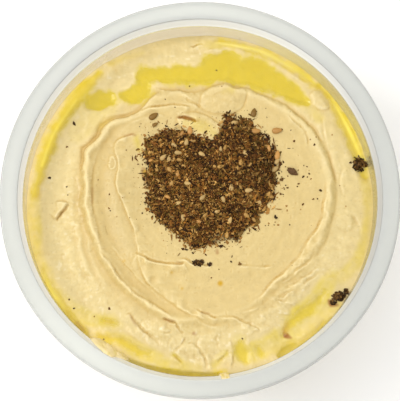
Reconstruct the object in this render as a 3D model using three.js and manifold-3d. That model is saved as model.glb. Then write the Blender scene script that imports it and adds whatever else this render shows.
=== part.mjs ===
// Hummus in its round clear tub, with pools of olive oil lying in the swirl and a
// heart-shaped heap of za'atar in the middle.
// Millimetres. The origin is the middle of the tub's foot, +Z is up, +Y is the far side.
import * as THREE from "three";
import { mergeVertices } from "three/addons/utils/BufferGeometryUtils.js";
import Module from "manifold-3d";

// ---------------------------------------------------------------- driving dimensions

const GAP = 0.3; // clearance between pieces that touch

const TUB = {
  height: 62,
  rimRadius: 60.8,
  wall: 0.6,
  skirtDrop: 3.4, // the rim's outer skirt hangs this far below the rim's top
  rimEdge: [0.2, 0.5], // bevel of the rim's outer edge: in, down
  flangeOuter: 60.2, // the flange slopes a little from here ...
  flangeInner: 55.6, // ... down to here
  flangeDrop: 0.7,
  shoulderRadius: 53.8, // the wall proper starts under a sloping shoulder
  shoulderDrop: 5,
  upperDraft: 3, // degrees
  ledgeHeight: 41.4, // small ledge that keeps nested tubs apart
  ledgeRise: 0.6,
  ledgeWidth: 0.76,
  lowerDraft: 7, // degrees
  footCorner: 3.4,
  footRingInner: 38.6,
  pushUp: 0.8, // the middle of the base is raised by this
  baseThickness: 0.7,
  segments: 56,
};

const HUMMUS = {
  level: 48.9, // of the outer ring, on the axis
  farFall: 0.022, // the surface falls towards the far side, per mm
  segments: 64,
  // radius of the main ridge's foot, every 15 degrees anticlockwise from +X
  ridgeRadii: [
    41.5, 42.5, 41.8, 40.9, 38.8, 38.9, 37, 33.9, 33.9, 38.3, 38.1, 37.9,
    36.1, 35.6, 34.5, 34.3, 35.1, 37, 36.9, 36.9, 36.9, 34.8, 36.4, 39.2,
  ],
  ridge: { inset: 1.6, width: 2.6, height: 1.5 },
  crevice: { outset: 0.4, width: 0.8, depth: 0.7 }, // at the ridge's outer foot
  plateauRise: 1.2, // inside the ridge, above the outer ring
  plateauSlope: 1.3, // width over which the surface rises to it
  groove: { inset: 7.5, width: 3.2, depth: 1.5, from: 140, to: 300, fade: 15 }, // spoon track
  // soft lumps: amplitude, steps per mm along X and Y, phase
  lumps: [[0.2, 0.3, 0.12, 0.9], [0.16, -0.2, 0.26, 0.4], [0.14, 0.19, -0.19, 2]],
  // where the surface has its rings of vertices: millimetres inside the ridge's foot, shares of
  // the way from the middle to the first of those, and shares of the way on to the wall
  ridgeInsets: [9, 6.2, 4.2, 2.7, 1.5, 0.6, -0.1],
  middleShares: [0.22, 0.45, 0.68, 0.86],
  ringShares: [0.06, 0.18, 0.36, 0.58, 0.8],
};

// Mounds of hummus dropped on the swirl: place, radius, height.
const DOLLOPS = [
  { x: 7.5, y: 33, radius: 5.5, height: 1.7 },
  { x: 2, y: 22.5, radius: 3.8, height: 1.3 },
  { x: 37.5, y: 32.5, radius: 2.6, height: 0.9 },
  { x: 44.5, y: -6, radius: 3.6, height: 0.8 },
  { x: -43, y: -1.5, radius: 2.4, height: 0.8 },
  { x: -12, y: -41, radius: 4.5, height: 0.8 },
  { x: 3, y: -47, radius: 4.2, height: 0.9 },
];

// Pools away from the wall: a spine of [x, y, half width] points, and the depth of oil.
const POOLS = {
  oil_pool_far: {
    depth: 1.7,
    spine: [
      [-35, 32, 2.2], [-28, 31.7, 3], [-21, 35.5, 2.8], [-13, 40, 2.6],
      [-4, 41, 2.8], [4, 42.6, 5], [11, 42.5, 5.2], [19, 40, 4.6],
      [27, 36.8, 3.6], [33, 33, 2.2], [37, 29.5, 1],
    ],
  },
  oil_pool_near_right: {
    depth: 1.4,
    spine: [[41, -24.5, 1.6], [38.5, -29, 3], [34, -34, 3.6], [28.8, -38, 2.6], [25.5, -43, 1.4]],
  },
  oil_pool_near: {
    depth: 1.2,
    spine: [[11.5, -42, 1.6], [13.5, -46, 2.6], [16.5, -48, 1.6]],
  },
  oil_pool_near_left: {
    depth: 1.2,
    spine: [[-30.5, -37, 1.4], [-28, -41, 2.4], [-22.5, -43.5, 1.8]],
  },
};

// Pools that lie against the wall: angles in degrees, and the width of oil there.
const WALL_POOLS = {
  oil_wall_left: { from: 128, to: 186, width: 3.6, depth: 1.5 },
  oil_wall_lower_left: { from: 196, to: 226, width: 2.6, depth: 1.2 },
  oil_wall_near: { from: 242, to: 276, width: 2.2, depth: 1.2 },
  oil_wall_right: { from: 20, to: 76, width: 3, depth: 1.4 },
};
const POOL = {
  edge: 0.3, // thickness of oil at a pool's edge
  sink: 0.1, // the oil lies this far below the ring's level
  headroom: 4, // its hollow is open this far above the oil
  wallStep: 4, // degrees between stations along the wall
  wallTip: 0.35, // share of the width left at the ends of a pool along the wall
};

const HEAP = {
  centre: [3, 5],
  height: 2.2,
  edge: 0.5, // thickness at the outline
  headroom: 2, // its hollow is open this far above it
  grain: [[0.2, 0.9, 0.7, 0], [0.15, 0.5, -0.6, 1]], // as the hummus's lumps
  rings: [0.25, 0.5, 0.72, 0.88, 0.97, 1], // shares of the way from the centre to the outline
  samples: 44,
  outline: [
    [-16, 20.5], [-10.5, 23], [-3.4, 22.7], [-1, 20], [4.9, 18.6], [8, 26.5], [14.2, 25.5],
    [20.7, 19.2], [23.7, 13.3], [23, 6.1], [20.9, -1.1], [15.9, -7.3], [11.5, -12.6],
    [3.7, -14], [-1.8, -14], [-7, -9.1], [-11, -6.3], [-15.3, -2], [-16.6, 6.1], [-17.2, 14.8],
  ],
};

const COLOURS = { tub: 0xe6e8e3, hummus: 0xefd796, oil: 0xe6c83a, heap: 0x4b3728 };

// ---------------------------------------------------------------- curves and profiles

const radians = THREE.MathUtils.degToRad;
const smoothstep = THREE.MathUtils.smoothstep;
const tangent = (degrees) => Math.tan(radians(degrees));
const point = (r, z) => new THREE.Vector2(r, z);

// Inside of the tub from the skirt's foot over the rim and down to the axis.
const SHOULDER = 4; // index of the wall's top in that profile
function innerProfile() {
  const t = TUB;
  const shoulderZ = t.height - t.shoulderDrop;
  const ledgeTop = t.ledgeHeight + t.ledgeRise;
  const upperFoot = t.shoulderRadius - (shoulderZ - ledgeTop) * tangent(t.upperDraft);
  const lowerTop = upperFoot - t.ledgeWidth;
  const cornerZ = t.baseThickness + t.footCorner;
  const lowerFoot = lowerTop - (t.ledgeHeight - cornerZ) * tangent(t.lowerDraft);
  const diagonal = t.footCorner * (1 - Math.SQRT1_2);
  return [
    point(t.rimRadius, t.height - t.skirtDrop),
    point(t.rimRadius - t.rimEdge[0], t.height - t.rimEdge[1]),
    point(t.flangeOuter, t.height),
    point(t.flangeInner, t.height - t.flangeDrop),
    point(t.shoulderRadius, shoulderZ),
    point(upperFoot, ledgeTop),
    point(lowerTop, t.ledgeHeight),
    point(lowerFoot, cornerZ),
    point(lowerFoot - diagonal, t.baseThickness + diagonal),
    point(lowerFoot - t.footCorner, t.baseThickness),
    point(t.footRingInner, t.baseThickness),
    point(t.footRingInner - 1, t.baseThickness + t.pushUp),
    point(0, t.baseThickness + t.pushUp),
  ];
}

// A profile moved sideways by a distance, to the left of its direction of travel when positive.
function offsetProfile(profile, distance) {
  const normals = profile.slice(1).map((p, i) => {
    const along = p.clone().sub(profile[i]).normalize();
    return point(-along.y, along.x);
  });
  return profile.map((p, i) => {
    const before = normals[Math.max(i - 1, 0)];
    const after = normals[Math.min(i, normals.length - 1)];
    const middle = before.clone().add(after).normalize();
    return p.clone().addScaledVector(middle, distance / middle.dot(after));
  });
}

// Radius of a profile at a height, looked for between two of its points, first above last.
function radiusAt(profile, first, last, z) {
  for (let i = first; i < last; i += 1) {
    const [a, b] = [profile[i], profile[i + 1]];
    if (z <= a.y && z >= b.y) return a.x + ((b.x - a.x) * (a.y - z)) / (a.y - b.y);
  }
  return profile[first].x;
}

// Value of a closed list, spread evenly round the circle, at an angle: a smooth curve through it.
function aroundCircle(values, angle) {
  const n = values.length;
  const place = THREE.MathUtils.euclideanModulo(angle / (2 * Math.PI), 1) * n;
  const i = Math.floor(place);
  const f = place - i;
  const [a, b, c, d] = [-1, 0, 1, 2].map((k) => values[(i + k + n) % n]);
  return b + 0.5 * f * (c - a + f * (2 * a - 5 * b + 4 * c - d + f * (3 * (b - c) + d - a)));
}

// ---------------------------------------------------------------- the hummus surface

const bell = (distance, width) => Math.exp(-((distance / width) ** 2));

// Sum of plane waves, each [amplitude, steps per mm along X and Y, phase].
const waves = (terms, x, y) =>
  terms.reduce((sum, [size, kx, ky, phase]) => sum + size * Math.sin(kx * x + ky * y + phase), 0);

const ringLevel = (y) => HUMMUS.level - HUMMUS.farFall * y;

// Height of the hummus: a ring, a ridge with a crevice at its outer foot, a plateau inside it
// with a spoon track along the left and near sides, dollops, and soft lumps.
function hummusHeight(x, y) {
  const angle = Math.atan2(y, x);
  const inside = aroundCircle(HUMMUS.ridgeRadii, angle) - Math.hypot(x, y);
  const step = smoothstep(inside, -GAP, HUMMUS.plateauSlope - GAP);
  const { ridge, crevice, groove } = HUMMUS;
  const degrees = (THREE.MathUtils.radToDeg(angle) + 360) % 360;
  const along =
    smoothstep(degrees, groove.from - groove.fade, groove.from + groove.fade) *
    (1 - smoothstep(degrees, groove.to - groove.fade, groove.to + groove.fade));
  let z = ringLevel(y) + waves(HUMMUS.lumps, x, y);
  z += HUMMUS.plateauRise * step;
  z += ridge.height * step * bell(inside - ridge.inset, ridge.width);
  z -= crevice.depth * bell(inside + crevice.outset, crevice.width);
  z -= groove.depth * along * bell(inside - groove.inset, groove.width);
  for (const d of DOLLOPS) z += d.height * bell(Math.hypot(x - d.x, y - d.y), d.radius);
  return z;
}

// ---------------------------------------------------------------- meshes

// A closed body from rings of equal count, each a list of points, listed from the top's middle
// outwards, down the side and back to the bottom's middle, with one point at either end.
function ringsBody(top, rings, bottom) {
  const n = rings[0].length;
  const positions = [top, ...rings.flat(), bottom].flatMap((p) => [p.x, p.y, p.z]);
  const index = [];
  const at = (ring, i) => 1 + ring * n + (i % n);
  const last = 1 + rings.length * n;
  for (let i = 0; i < n; i += 1) {
    index.push(0, at(0, i), at(0, i + 1));
    index.push(last, at(rings.length - 1, i + 1), at(rings.length - 1, i));
    for (let k = 0; k + 1 < rings.length; k += 1) {
      index.push(at(k, i), at(k + 1, i), at(k + 1, i + 1));
      index.push(at(k, i), at(k + 1, i + 1), at(k, i + 1));
    }
  }
  const geometry = new THREE.BufferGeometry();
  geometry.setAttribute("position", new THREE.Float32BufferAttribute(positions, 3));
  geometry.setIndex(index);
  return geometry;
}

const circle = (count) =>
  Array.from({ length: count }, (_, i) => (i * 2 * Math.PI) / count);

function tubGeometry() {
  const inner = innerProfile();
  const outer = offsetProfile(inner, TUB.wall);
  const [ringOut, ringIn, raised, middle] = outer.slice(-4);
  outer[0].y = inner[0].y; // the skirt is cut off level
  for (const p of [ringOut, ringIn]) p.y = 0; // the tub stands on this ring
  for (const p of [raised, middle]) p.y = TUB.pushUp;
  middle.x = 0;
  const section = [...outer.reverse(), ...inner];
  const geometry = new THREE.LatheGeometry(section, TUB.segments);
  geometry.rotateX(Math.PI / 2);
  return geometry;
}

function hummusGeometry() {
  const wall = offsetProfile(innerProfile(), -GAP);
  const angles = circle(HUMMUS.segments);
  const edgeRadius = radiusAt(wall, SHOULDER, wall.length - 1, HUMMUS.level);
  const { ridgeInsets, middleShares, ringShares } = HUMMUS;
  const radii = [
    ...middleShares.map((share) => (foot) => (foot - ridgeInsets[0]) * share),
    ...ridgeInsets.map((inset) => (foot) => foot - inset),
    ...ringShares.map((share) => (foot) => foot + (edgeRadius - foot) * share),
  ];
  const onSurface = (radius, angle) => {
    const [x, y] = [radius * Math.cos(angle), radius * Math.sin(angle)];
    return new THREE.Vector3(x, y, hummusHeight(x, y));
  };
  const rings = radii.map((radius) =>
    angles.map((a) => onSurface(radius(aroundCircle(HUMMUS.ridgeRadii, a)), a)),
  );
  rings.push(
    angles.map((a) => {
      const { z } = onSurface(edgeRadius, a);
      const radius = radiusAt(wall, SHOULDER, wall.length - 1, z);
      return new THREE.Vector3(radius * Math.cos(a), radius * Math.sin(a), z);
    }),
  );
  for (const { x: radius, y: z } of wall.slice(SHOULDER + 1, -1))
    rings.push(
      angles.map((a) => new THREE.Vector3(radius * Math.cos(a), radius * Math.sin(a), z)),
    );
  const floorZ = wall[wall.length - 1].y;
  return ringsBody(onSurface(0, 0), rings, new THREE.Vector3(0, 0, floorZ));
}

// The heap's outline as evenly spaced points, anticlockwise, moved outwards by a distance.
function heapOutline(growth = 0) {
  const curve = new THREE.CatmullRomCurve3(
    HEAP.outline.map(([x, y]) => new THREE.Vector3(x, y, 0)),
    true,
  );
  const points = curve.getSpacedPoints(HEAP.samples).slice(0, -1).reverse();
  const n = points.length;
  return points.map((p, i) => {
    const along = points[(i + 1) % n].clone().sub(points[(i + n - 1) % n]).normalize();
    return p.clone().add(new THREE.Vector3(along.y, -along.x, 0).multiplyScalar(growth));
  });
}

// Heap with a steep crumbly edge and an uneven top, lying on a level seat.
function heapGeometry(seat) {
  const [cx, cy] = HEAP.centre;
  const outline = heapOutline();
  const top = (x, y, share) => {
    const rise = HEAP.height - HEAP.edge + waves(HEAP.grain, x, y);
    return seat + HEAP.edge + rise * (1 - share ** 4);
  };
  const ring = (share, z) =>
    outline.map((p) => {
      const [x, y] = [cx + share * (p.x - cx), cy + share * (p.y - cy)];
      return new THREE.Vector3(x, y, z ?? top(x, y, share));
    });
  const rings = HEAP.rings.map((share) => ring(share));
  rings.push(ring(1, seat));
  return ringsBody(
    new THREE.Vector3(cx, cy, top(cx, cy, 0)),
    rings,
    new THREE.Vector3(cx, cy, seat),
  );
}

// The space the heap needs: a straight-sided block a gap wider than the heap and open upwards.
function heapHollowGeometry(seat) {
  const [cx, cy] = HEAP.centre;
  const level = (z) => heapOutline(GAP).map((p) => p.clone().setZ(z));
  const [low, high] = [seat - GAP, seat + HEAP.height + HEAP.headroom];
  return ringsBody(
    new THREE.Vector3(cx, cy, high),
    [level(high), level(low)],
    new THREE.Vector3(cx, cy, low),
  );
}

// Oil along a line of stations, each { x, y, half, normal }: level on top, and deepest in the
// middle. growth makes it larger all round and raises its top, for the hollow it lies in.
function poolGeometry(stations, level, depth, growth = 0) {
  const raise = growth > 0 ? POOL.headroom : 0;
  const across = [-1, -0.5, 0, 0.5, 1];
  const sag = (share) => POOL.edge + (depth - POOL.edge) * (1 - share * share);
  const sections = stations.map(({ x, y, normal, half }, i) => {
    const lengthen = growth * ((i === stations.length - 1) - (i === 0));
    const place = (share, z) =>
      new THREE.Vector3(
        x + share * (half + growth) * normal.x - lengthen * normal.y,
        y + share * (half + growth) * normal.y + lengthen * normal.x,
        z,
      );
    return [
      place(-1, level + raise),
      ...across.map((share) => place(share, level - sag(share) - growth)),
      place(1, level + raise),
    ];
  });
  const ends = [sections[0], sections[sections.length - 1]].map((section) =>
    section.reduce((sum, p) => sum.add(p), new THREE.Vector3()).divideScalar(section.length),
  );
  return ringsBody(ends[0], sections, ends[1]);
}

// Evenly spaced stations along a pool's spine.
function spineStations(spine) {
  const curve = new THREE.CatmullRomCurve3(spine.map((p) => new THREE.Vector3(...p)));
  const count = 2 * spine.length;
  return Array.from({ length: count + 1 }, (_, i) => {
    const at = curve.getPoint(i / count);
    const along = curve.getTangent(i / count).setZ(0).normalize();
    return { x: at.x, y: at.y, half: at.z, normal: point(along.y, -along.x) };
  });
}

// Stations along the wall, narrower towards both ends of the arc.
function wallStations({ from, to, width }, outerRadius) {
  const count = Math.round((to - from) / POOL.wallStep);
  return Array.from({ length: count + 1 }, (_, i) => {
    const angle = radians(from + ((to - from) * i) / count);
    const swell = Math.sin((Math.PI * i) / count);
    const half = (width / 2) * (POOL.wallTip + (1 - POOL.wallTip) * swell);
    const radius = outerRadius - half;
    const normal = point(Math.cos(angle), Math.sin(angle));
    return { x: radius * normal.x, y: radius * normal.y, half, normal };
  });
}

// ---------------------------------------------------------------- booleans

const wasm = await Module();
wasm.setup();

function solidOf(geometry) {
  const bare = geometry.clone();
  for (const name of ["normal", "uv"]) bare.deleteAttribute(name);
  const merged = mergeVertices(bare, 1e-4);
  return new wasm.Manifold(
    new wasm.Mesh({
      numProp: 3,
      vertProperties: new Float32Array(merged.attributes.position.array),
      triVerts: new Uint32Array(merged.index.array),
    }),
  );
}

function geometryOf(solid) {
  const mesh = solid.getMesh();
  const geometry = new THREE.BufferGeometry();
  geometry.setAttribute("position", new THREE.BufferAttribute(mesh.vertProperties, 3));
  geometry.setIndex(new THREE.BufferAttribute(mesh.triVerts, 1));
  return geometry;
}

// ---------------------------------------------------------------- the object

const materials = {
  tub: new THREE.MeshStandardMaterial({
    color: COLOURS.tub, roughness: 0.08, metalness: 0, transparent: true, opacity: 0.35,
  }),
  hummus: new THREE.MeshStandardMaterial({ color: COLOURS.hummus, roughness: 0.55, metalness: 0 }),
  oil: new THREE.MeshStandardMaterial({
    color: COLOURS.oil, roughness: 0.05, metalness: 0, transparent: true, opacity: 0.6,
  }),
  heap: new THREE.MeshStandardMaterial({ color: COLOURS.heap, roughness: 0.95, metalness: 0 }),
};

const group = new THREE.Group();

function addPiece(name, geometry, material) {
  geometry.computeVertexNormals();
  const mesh = new THREE.Mesh(geometry, material);
  mesh.name = name;
  group.add(mesh);
}

// Stations, level and depth of every pool, by name.
function allPools() {
  const wall = offsetProfile(innerProfile(), -GAP);
  const pools = [];
  for (const [name, { spine, depth }] of Object.entries(POOLS)) {
    const stations = spineStations(spine);
    const centreY = stations[Math.floor(stations.length / 2)].y;
    pools.push({ name, stations, depth, level: ringLevel(centreY) - POOL.sink });
  }
  for (const [name, arc] of Object.entries(WALL_POOLS)) {
    const centreY = TUB.shoulderRadius * Math.sin(radians((arc.from + arc.to) / 2));
    const level = ringLevel(centreY) - POOL.sink;
    const outer = radiusAt(wall, SHOULDER, wall.length - 1, level - arc.depth);
    pools.push({ name, stations: wallStations(arc, outer), depth: arc.depth, level });
  }
  return pools;
}

const heapSeat = ringLevel(0) + HUMMUS.plateauRise;
const pools = allPools();
const hollows = pools.map(({ stations, level, depth }) =>
  solidOf(poolGeometry(stations, level, depth, GAP)),
);
hollows.push(solidOf(heapHollowGeometry(heapSeat)));
const hummus = hollows.reduce(
  (body, hollow) => body.subtract(hollow),
  solidOf(hummusGeometry()),
);

addPiece("tub", tubGeometry(), materials.tub);
addPiece("hummus", geometryOf(hummus), materials.hummus);
addPiece("zaatar_heap", heapGeometry(heapSeat), materials.heap);
for (const { name, stations, level, depth } of pools)
  addPiece(name, poolGeometry(stations, level, depth), materials.oil);

export default group;
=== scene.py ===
"""Hummus in a clear round tub, with pools of olive oil and a heart-shaped heap of za'atar.

Shapes are worked out in millimetres and stored in metres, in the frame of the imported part:
the origin is the middle of the tub's foot, +Z is up and +Y is the far side.
"""

from __future__ import annotations

import logging
import math
from dataclasses import dataclass
from enum import Enum
from typing import Any

import bpy
import numpy as np
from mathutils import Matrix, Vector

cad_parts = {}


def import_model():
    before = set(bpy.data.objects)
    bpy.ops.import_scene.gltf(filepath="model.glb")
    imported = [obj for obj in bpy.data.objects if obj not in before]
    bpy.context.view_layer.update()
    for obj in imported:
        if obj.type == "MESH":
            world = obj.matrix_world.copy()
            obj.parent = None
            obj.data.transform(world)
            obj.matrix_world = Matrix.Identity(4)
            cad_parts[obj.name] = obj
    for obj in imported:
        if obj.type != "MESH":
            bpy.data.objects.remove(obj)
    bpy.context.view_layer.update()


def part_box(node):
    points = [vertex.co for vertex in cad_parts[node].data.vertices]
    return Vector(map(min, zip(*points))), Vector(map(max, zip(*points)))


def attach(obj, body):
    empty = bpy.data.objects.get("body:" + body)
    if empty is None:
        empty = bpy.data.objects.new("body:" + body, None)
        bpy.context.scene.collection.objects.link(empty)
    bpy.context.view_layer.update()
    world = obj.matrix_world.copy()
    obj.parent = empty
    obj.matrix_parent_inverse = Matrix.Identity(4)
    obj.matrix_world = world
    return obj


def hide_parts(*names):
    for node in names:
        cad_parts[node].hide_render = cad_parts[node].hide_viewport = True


LOG = logging.getLogger("hummus_tub")
MM = 0.001
BODY = "root"
Array = np.ndarray
Points = tuple[tuple[float, ...], ...]
Triple = tuple[float, float, float]
Piece = bpy.types.Object


# --- small tools


def linear(colour: str, alpha: float = 1.0) -> tuple[float, float, float, float]:
    """Turns an sRGB colour into a linear one.

    Args:
        colour: Six hex digits, such as "efd796".
        alpha: The fourth number of the result.

    Returns:
        Red, green, blue and alpha, each from 0 to 1.
    """
    parts = [int(colour[i : i + 2], 16) / 255 for i in (0, 2, 4)]
    lit = [c / 12.92 if c <= 0.04045 else ((c + 0.055) / 1.055) ** 2.4 for c in parts]
    return (lit[0], lit[1], lit[2], alpha)


def rgb(colour: str) -> Array:
    """Linear red, green and blue of an sRGB colour."""
    return np.array(linear(colour)[:3])


def smoothstep(value: Array, low: float | Array, high: float | Array) -> Array:
    """Rises from 0 at low to 1 at high as 3t^2 - 2t^3."""
    t = np.clip((value - low) / (high - low), 0, 1)
    return t * t * (3 - 2 * t)


def bell(distance: Array, width: float | Array) -> Array:
    """Falls from 1 at no distance to 1/e at the width, as exp(-(d/w)^2)."""
    return np.exp(-((distance / width) ** 2))


def mix(low: Array | float, high: Array | float, share: Array) -> Array:
    """Goes from low to high as share goes from 0 to 1."""
    return low + (high - low) * share


def around(values: tuple[float, ...], angle: Array) -> Array:
    """Reads a closed list, spread evenly round the circle from +X, by Catmull-Rom.

    Args:
        values: One value for each equal step of angle, anticlockwise.
        angle: Where to read it, in radians.

    Returns:
        The value of the smooth closed curve at each angle.
    """
    table = np.asarray(values, float)
    count = len(table)
    place = np.mod(angle / (2 * np.pi), 1) * count
    i = np.floor(place).astype(int)
    f = place - i
    a, b, c, d = (table[(i + k) % count] for k in (-1, 0, 1, 2))
    return b + 0.5 * f * (c - a + f * (2 * a - 5 * b + 4 * c - d + f * (3 * (b - c) + d - a)))


def spline(points: Points, step: float = 0.8, closed: bool = False) -> Array:
    """Draws a Catmull-Rom curve through points.

    Args:
        points: Points of two or more numbers, the first two of them X and Y.
        step: About how far apart the curve's points are.
        closed: Whether the curve returns to its first point.

    Returns:
        The curve's points, one in each row.
    """
    p = np.asarray(points, float)
    if closed:
        p = np.vstack([p[-1], p, p[0], p[1]])
    else:
        p = np.vstack([2 * p[0] - p[1], p, 2 * p[-1] - p[-2]])
    rows = []
    for a, b, c, d in zip(p[:-3], p[1:-2], p[2:-1], p[3:]):
        count = max(2, int(np.hypot(*(c - b)[:2]) / step))
        t = np.linspace(0, 1, count, endpoint=False)[:, None]
        rows.append(
            b + 0.5 * t * (c - a + t * (2 * a - 5 * b + 4 * c - d + t * (3 * (b - c) + d - a)))
        )
    return np.vstack([*rows, p[-2][None]])


def along(x: Array, y: Array, path: Array, reach: float) -> tuple[Array, Array, Array]:
    """Finds the nearest place on a path for each point.

    The distance to a span is that to a + t(b - a), with t held between 0 and 1, and the
    nearest span counts.

    Args:
        x, y: The points.
        path: The path's points, one in each row, X and Y first.
        reach: Points further away than this count as this far off, on the right.

    Returns:
        The distance, positive on the left of the path; the share of the way along it; and the
        path's further columns there, one row for each.
    """
    shape = x.shape
    extra = path.shape[1] - 2
    distance = np.full(x.size, -reach)
    share = np.zeros(x.size)
    values = np.zeros((extra, x.size))
    low, high = path[:, :2].min(0) - reach, path[:, :2].max(0) + reach
    fx, fy = x.ravel(), y.ravel()
    near = np.flatnonzero((fx > low[0]) & (fx < high[0]) & (fy > low[1]) & (fy < high[1]))
    if near.size:
        px, py = fx[near], fy[near]
        best = np.full(near.size, np.inf)
        place = np.zeros(near.size)
        side = np.ones(near.size)
        for i, (a, b) in enumerate(zip(path[:-1], path[1:])):
            dx, dy = b[0] - a[0], b[1] - a[1]
            t = np.clip(((px - a[0]) * dx + (py - a[1]) * dy) / (dx * dx + dy * dy + 1e-12), 0, 1)
            ex, ey = px - a[0] - t * dx, py - a[1] - t * dy
            square = ex * ex + ey * ey
            closer = square < best
            best = np.where(closer, square, best)
            place = np.where(closer, i + t, place)
            side = np.where(closer, np.where(dx * ey - dy * ex >= 0, 1.0, -1.0), side)
        distance[near] = side * np.minimum(np.sqrt(best), reach)
        share[near] = place / (len(path) - 1)
        i = np.minimum(place.astype(int), len(path) - 2)
        f = place - i
        for k in range(extra):
            values[k, near] = mix(path[i, k + 2], path[i + 1, k + 2], f)
    return distance.reshape(shape), share.reshape(shape), values.reshape((extra, *shape))


def lattice(u: Array, v: Array, seed: int, wrap: int = 0) -> Array:
    """Smooth noise from -1 to 1: random numbers on a square lattice, joined by 6t^5-15t^4+10t^3.

    Args:
        u, v: Coordinates in lattice steps.
        seed: Chooses the random numbers.
        wrap: Number of steps after which v repeats, or 0.

    Returns:
        The noise at each point.
    """
    size = 256
    table = np.random.default_rng(seed).uniform(-1, 1, (size, size))
    iu, iv = np.floor(u).astype(int), np.floor(v).astype(int)
    fu, fv = u - iu, v - iv
    fu, fv = (f * f * f * (f * (6 * f - 15) + 10) for f in (fu, fv))
    period = wrap or size
    at = [[table[(iu + i) % size, ((iv + j) % period) % size] for j in (0, 1)] for i in (0, 1)]
    return mix(mix(at[0][0], at[0][1], fv), mix(at[1][0], at[1][1], fv), fu)


def clouds(x: Array, y: Array, cell: float, seed: int, octaves: int = 3) -> Array:
    """Sums lattice noise at halving cells and strengths, turned between octaves.

    Args:
        x, y: The points, in millimetres.
        cell: The size of the largest lumps, in millimetres.
        seed: Chooses the random numbers.
        octaves: How many sizes are summed.

    Returns:
        Noise of about -1 to 1.
    """
    total = np.zeros(np.shape(x))
    strength = 1.0
    for k in range(octaves):
        c, s = math.cos(0.7 * k + 0.3), math.sin(0.7 * k + 0.3)
        total += strength * lattice((c * x - s * y) / cell, (s * x + c * y) / cell, seed + k)
        cell, strength = cell / 2, strength / 2
    return total / 1.6


def cobbles(x: Array, y: Array, cell: float, seed: int) -> Array:
    """Rounded lumps that meet in creases: less the distance to the nearest of scattered points.

    Args:
        x, y: The points, in millimetres.
        cell: About how wide a lump is, in millimetres.
        seed: Chooses where the lumps lie.

    Returns:
        About 0.5 on the lumps' tops, down to about -0.5 in the creases.
    """
    size = 128
    table = np.random.default_rng(seed).uniform(0.1, 0.9, (size, size, 2))
    u, v = x / cell, y / cell
    iu, iv = np.floor(u).astype(int), np.floor(v).astype(int)
    best = np.full(np.shape(x), 9.0)
    for i in (-1, 0, 1):
        for j in (-1, 0, 1):
            spot = table[(iu + i) % size, (iv + j) % size]
            du, dv = iu + i + spot[..., 0] - u, iv + j + spot[..., 1] - v
            best = np.minimum(best, du * du + dv * dv)
    return 0.5 - np.sqrt(best)


def new_piece(
    name: str,
    points: Array,
    faces: list[Array],
    replaces: tuple[str, ...] = (),
    colours: dict[str, Array] | None = None,
    smooth: bool = True,
    sharp: float | None = None,
) -> Piece:
    """Makes a mesh object from arrays, gives it its body and hides the nodes that it replaces.

    Args:
        name: The piece's name.
        points: One point in each row, in millimetres.
        faces: Arrays of vertex numbers, one face in each row, facing outwards.
        replaces: The CAD nodes that the piece stands for.
        colours: Colour attributes of the points, by name, three or four numbers each.
        smooth: Whether the faces are shaded smooth.
        sharp: The angle between faces, in degrees, from which an edge stays crisp.

    Returns:
        The new object.
    """
    mesh = bpy.data.meshes.new(name)
    mesh.vertices.add(len(points))
    mesh.vertices.foreach_set("co", (np.asarray(points, float) * MM).ravel())
    sizes = np.concatenate([np.full(len(f), f.shape[1]) for f in faces])
    corners = np.concatenate([f.ravel() for f in faces]).astype(np.int32)
    mesh.loops.add(len(corners))
    mesh.loops.foreach_set("vertex_index", corners)
    mesh.polygons.add(len(sizes))
    starts = np.concatenate([[0], np.cumsum(sizes)[:-1]]).astype(np.int32)
    mesh.polygons.foreach_set("loop_start", starts)
    mesh.polygons.foreach_set("use_smooth", np.full(len(sizes), smooth))
    for key, values in (colours or {}).items():
        rgba = np.ones((len(points), 4))
        rgba[:, : values.shape[1]] = values
        layer = mesh.attributes.new(key, "FLOAT_COLOR", "POINT")
        layer.data.foreach_set("color", rgba.ravel().astype(np.float32))
    mesh.update(calc_edges=True)
    mesh.validate()
    if sharp is not None:
        mesh.set_sharp_from_angle(angle=math.radians(sharp))
    piece = bpy.data.objects.new(name, mesh)
    bpy.context.scene.collection.objects.link(piece)
    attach(piece, BODY)
    if replaces:
        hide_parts(*replaces)
    LOG.info("%s: %d points, %d faces", name, len(points), len(sizes))
    return piece


def loop_faces(rows: int, columns: int) -> Array:
    """Numbers the corners of each face of a grid of points that closes on itself both ways.

    Args:
        rows, columns: How many points lie each way.

    Returns:
        Four numbers for each face.
    """
    row, column = np.indices((rows, columns))
    after, beside = (row + 1) % rows, (column + 1) % columns
    corners = [row * columns + column, row * columns + beside]
    corners += [after * columns + beside, after * columns + column]
    return np.stack(corners, -1).reshape(-1, 4)


def revolved(profile: Array, segments: int) -> tuple[Array, Array]:
    """Turns a closed profile round the axis, both ends of each row joined into a ring.

    Args:
        profile: Radius and height of each point, in order, so that the left of the way along
            it is outside. It is closed from its last point to its first.
        segments: How many steps make the full turn.

    Returns:
        The points and the faces of four corners.
    """
    angle = np.arange(segments) * 2 * np.pi / segments
    x = profile[:, 0, None] * np.cos(angle)
    y = profile[:, 0, None] * np.sin(angle)
    z = np.repeat(profile[:, 1, None], segments, 1)
    points = np.stack([x, y, z], -1).reshape(-1, 3)
    return points, loop_faces(len(profile), segments)


def cell_corners(rows: int, columns: int) -> Array:
    """Numbers the corners of each cell of a grid of points.

    Args:
        rows, columns: How many points lie along each side.

    Returns:
        Four numbers for each cell, anticlockwise seen from above.
    """
    grid = np.arange(rows * columns).reshape(rows, columns)
    return np.stack([grid[:-1, :-1], grid[1:, :-1], grid[1:, 1:], grid[:-1, 1:]], -1)


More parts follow.
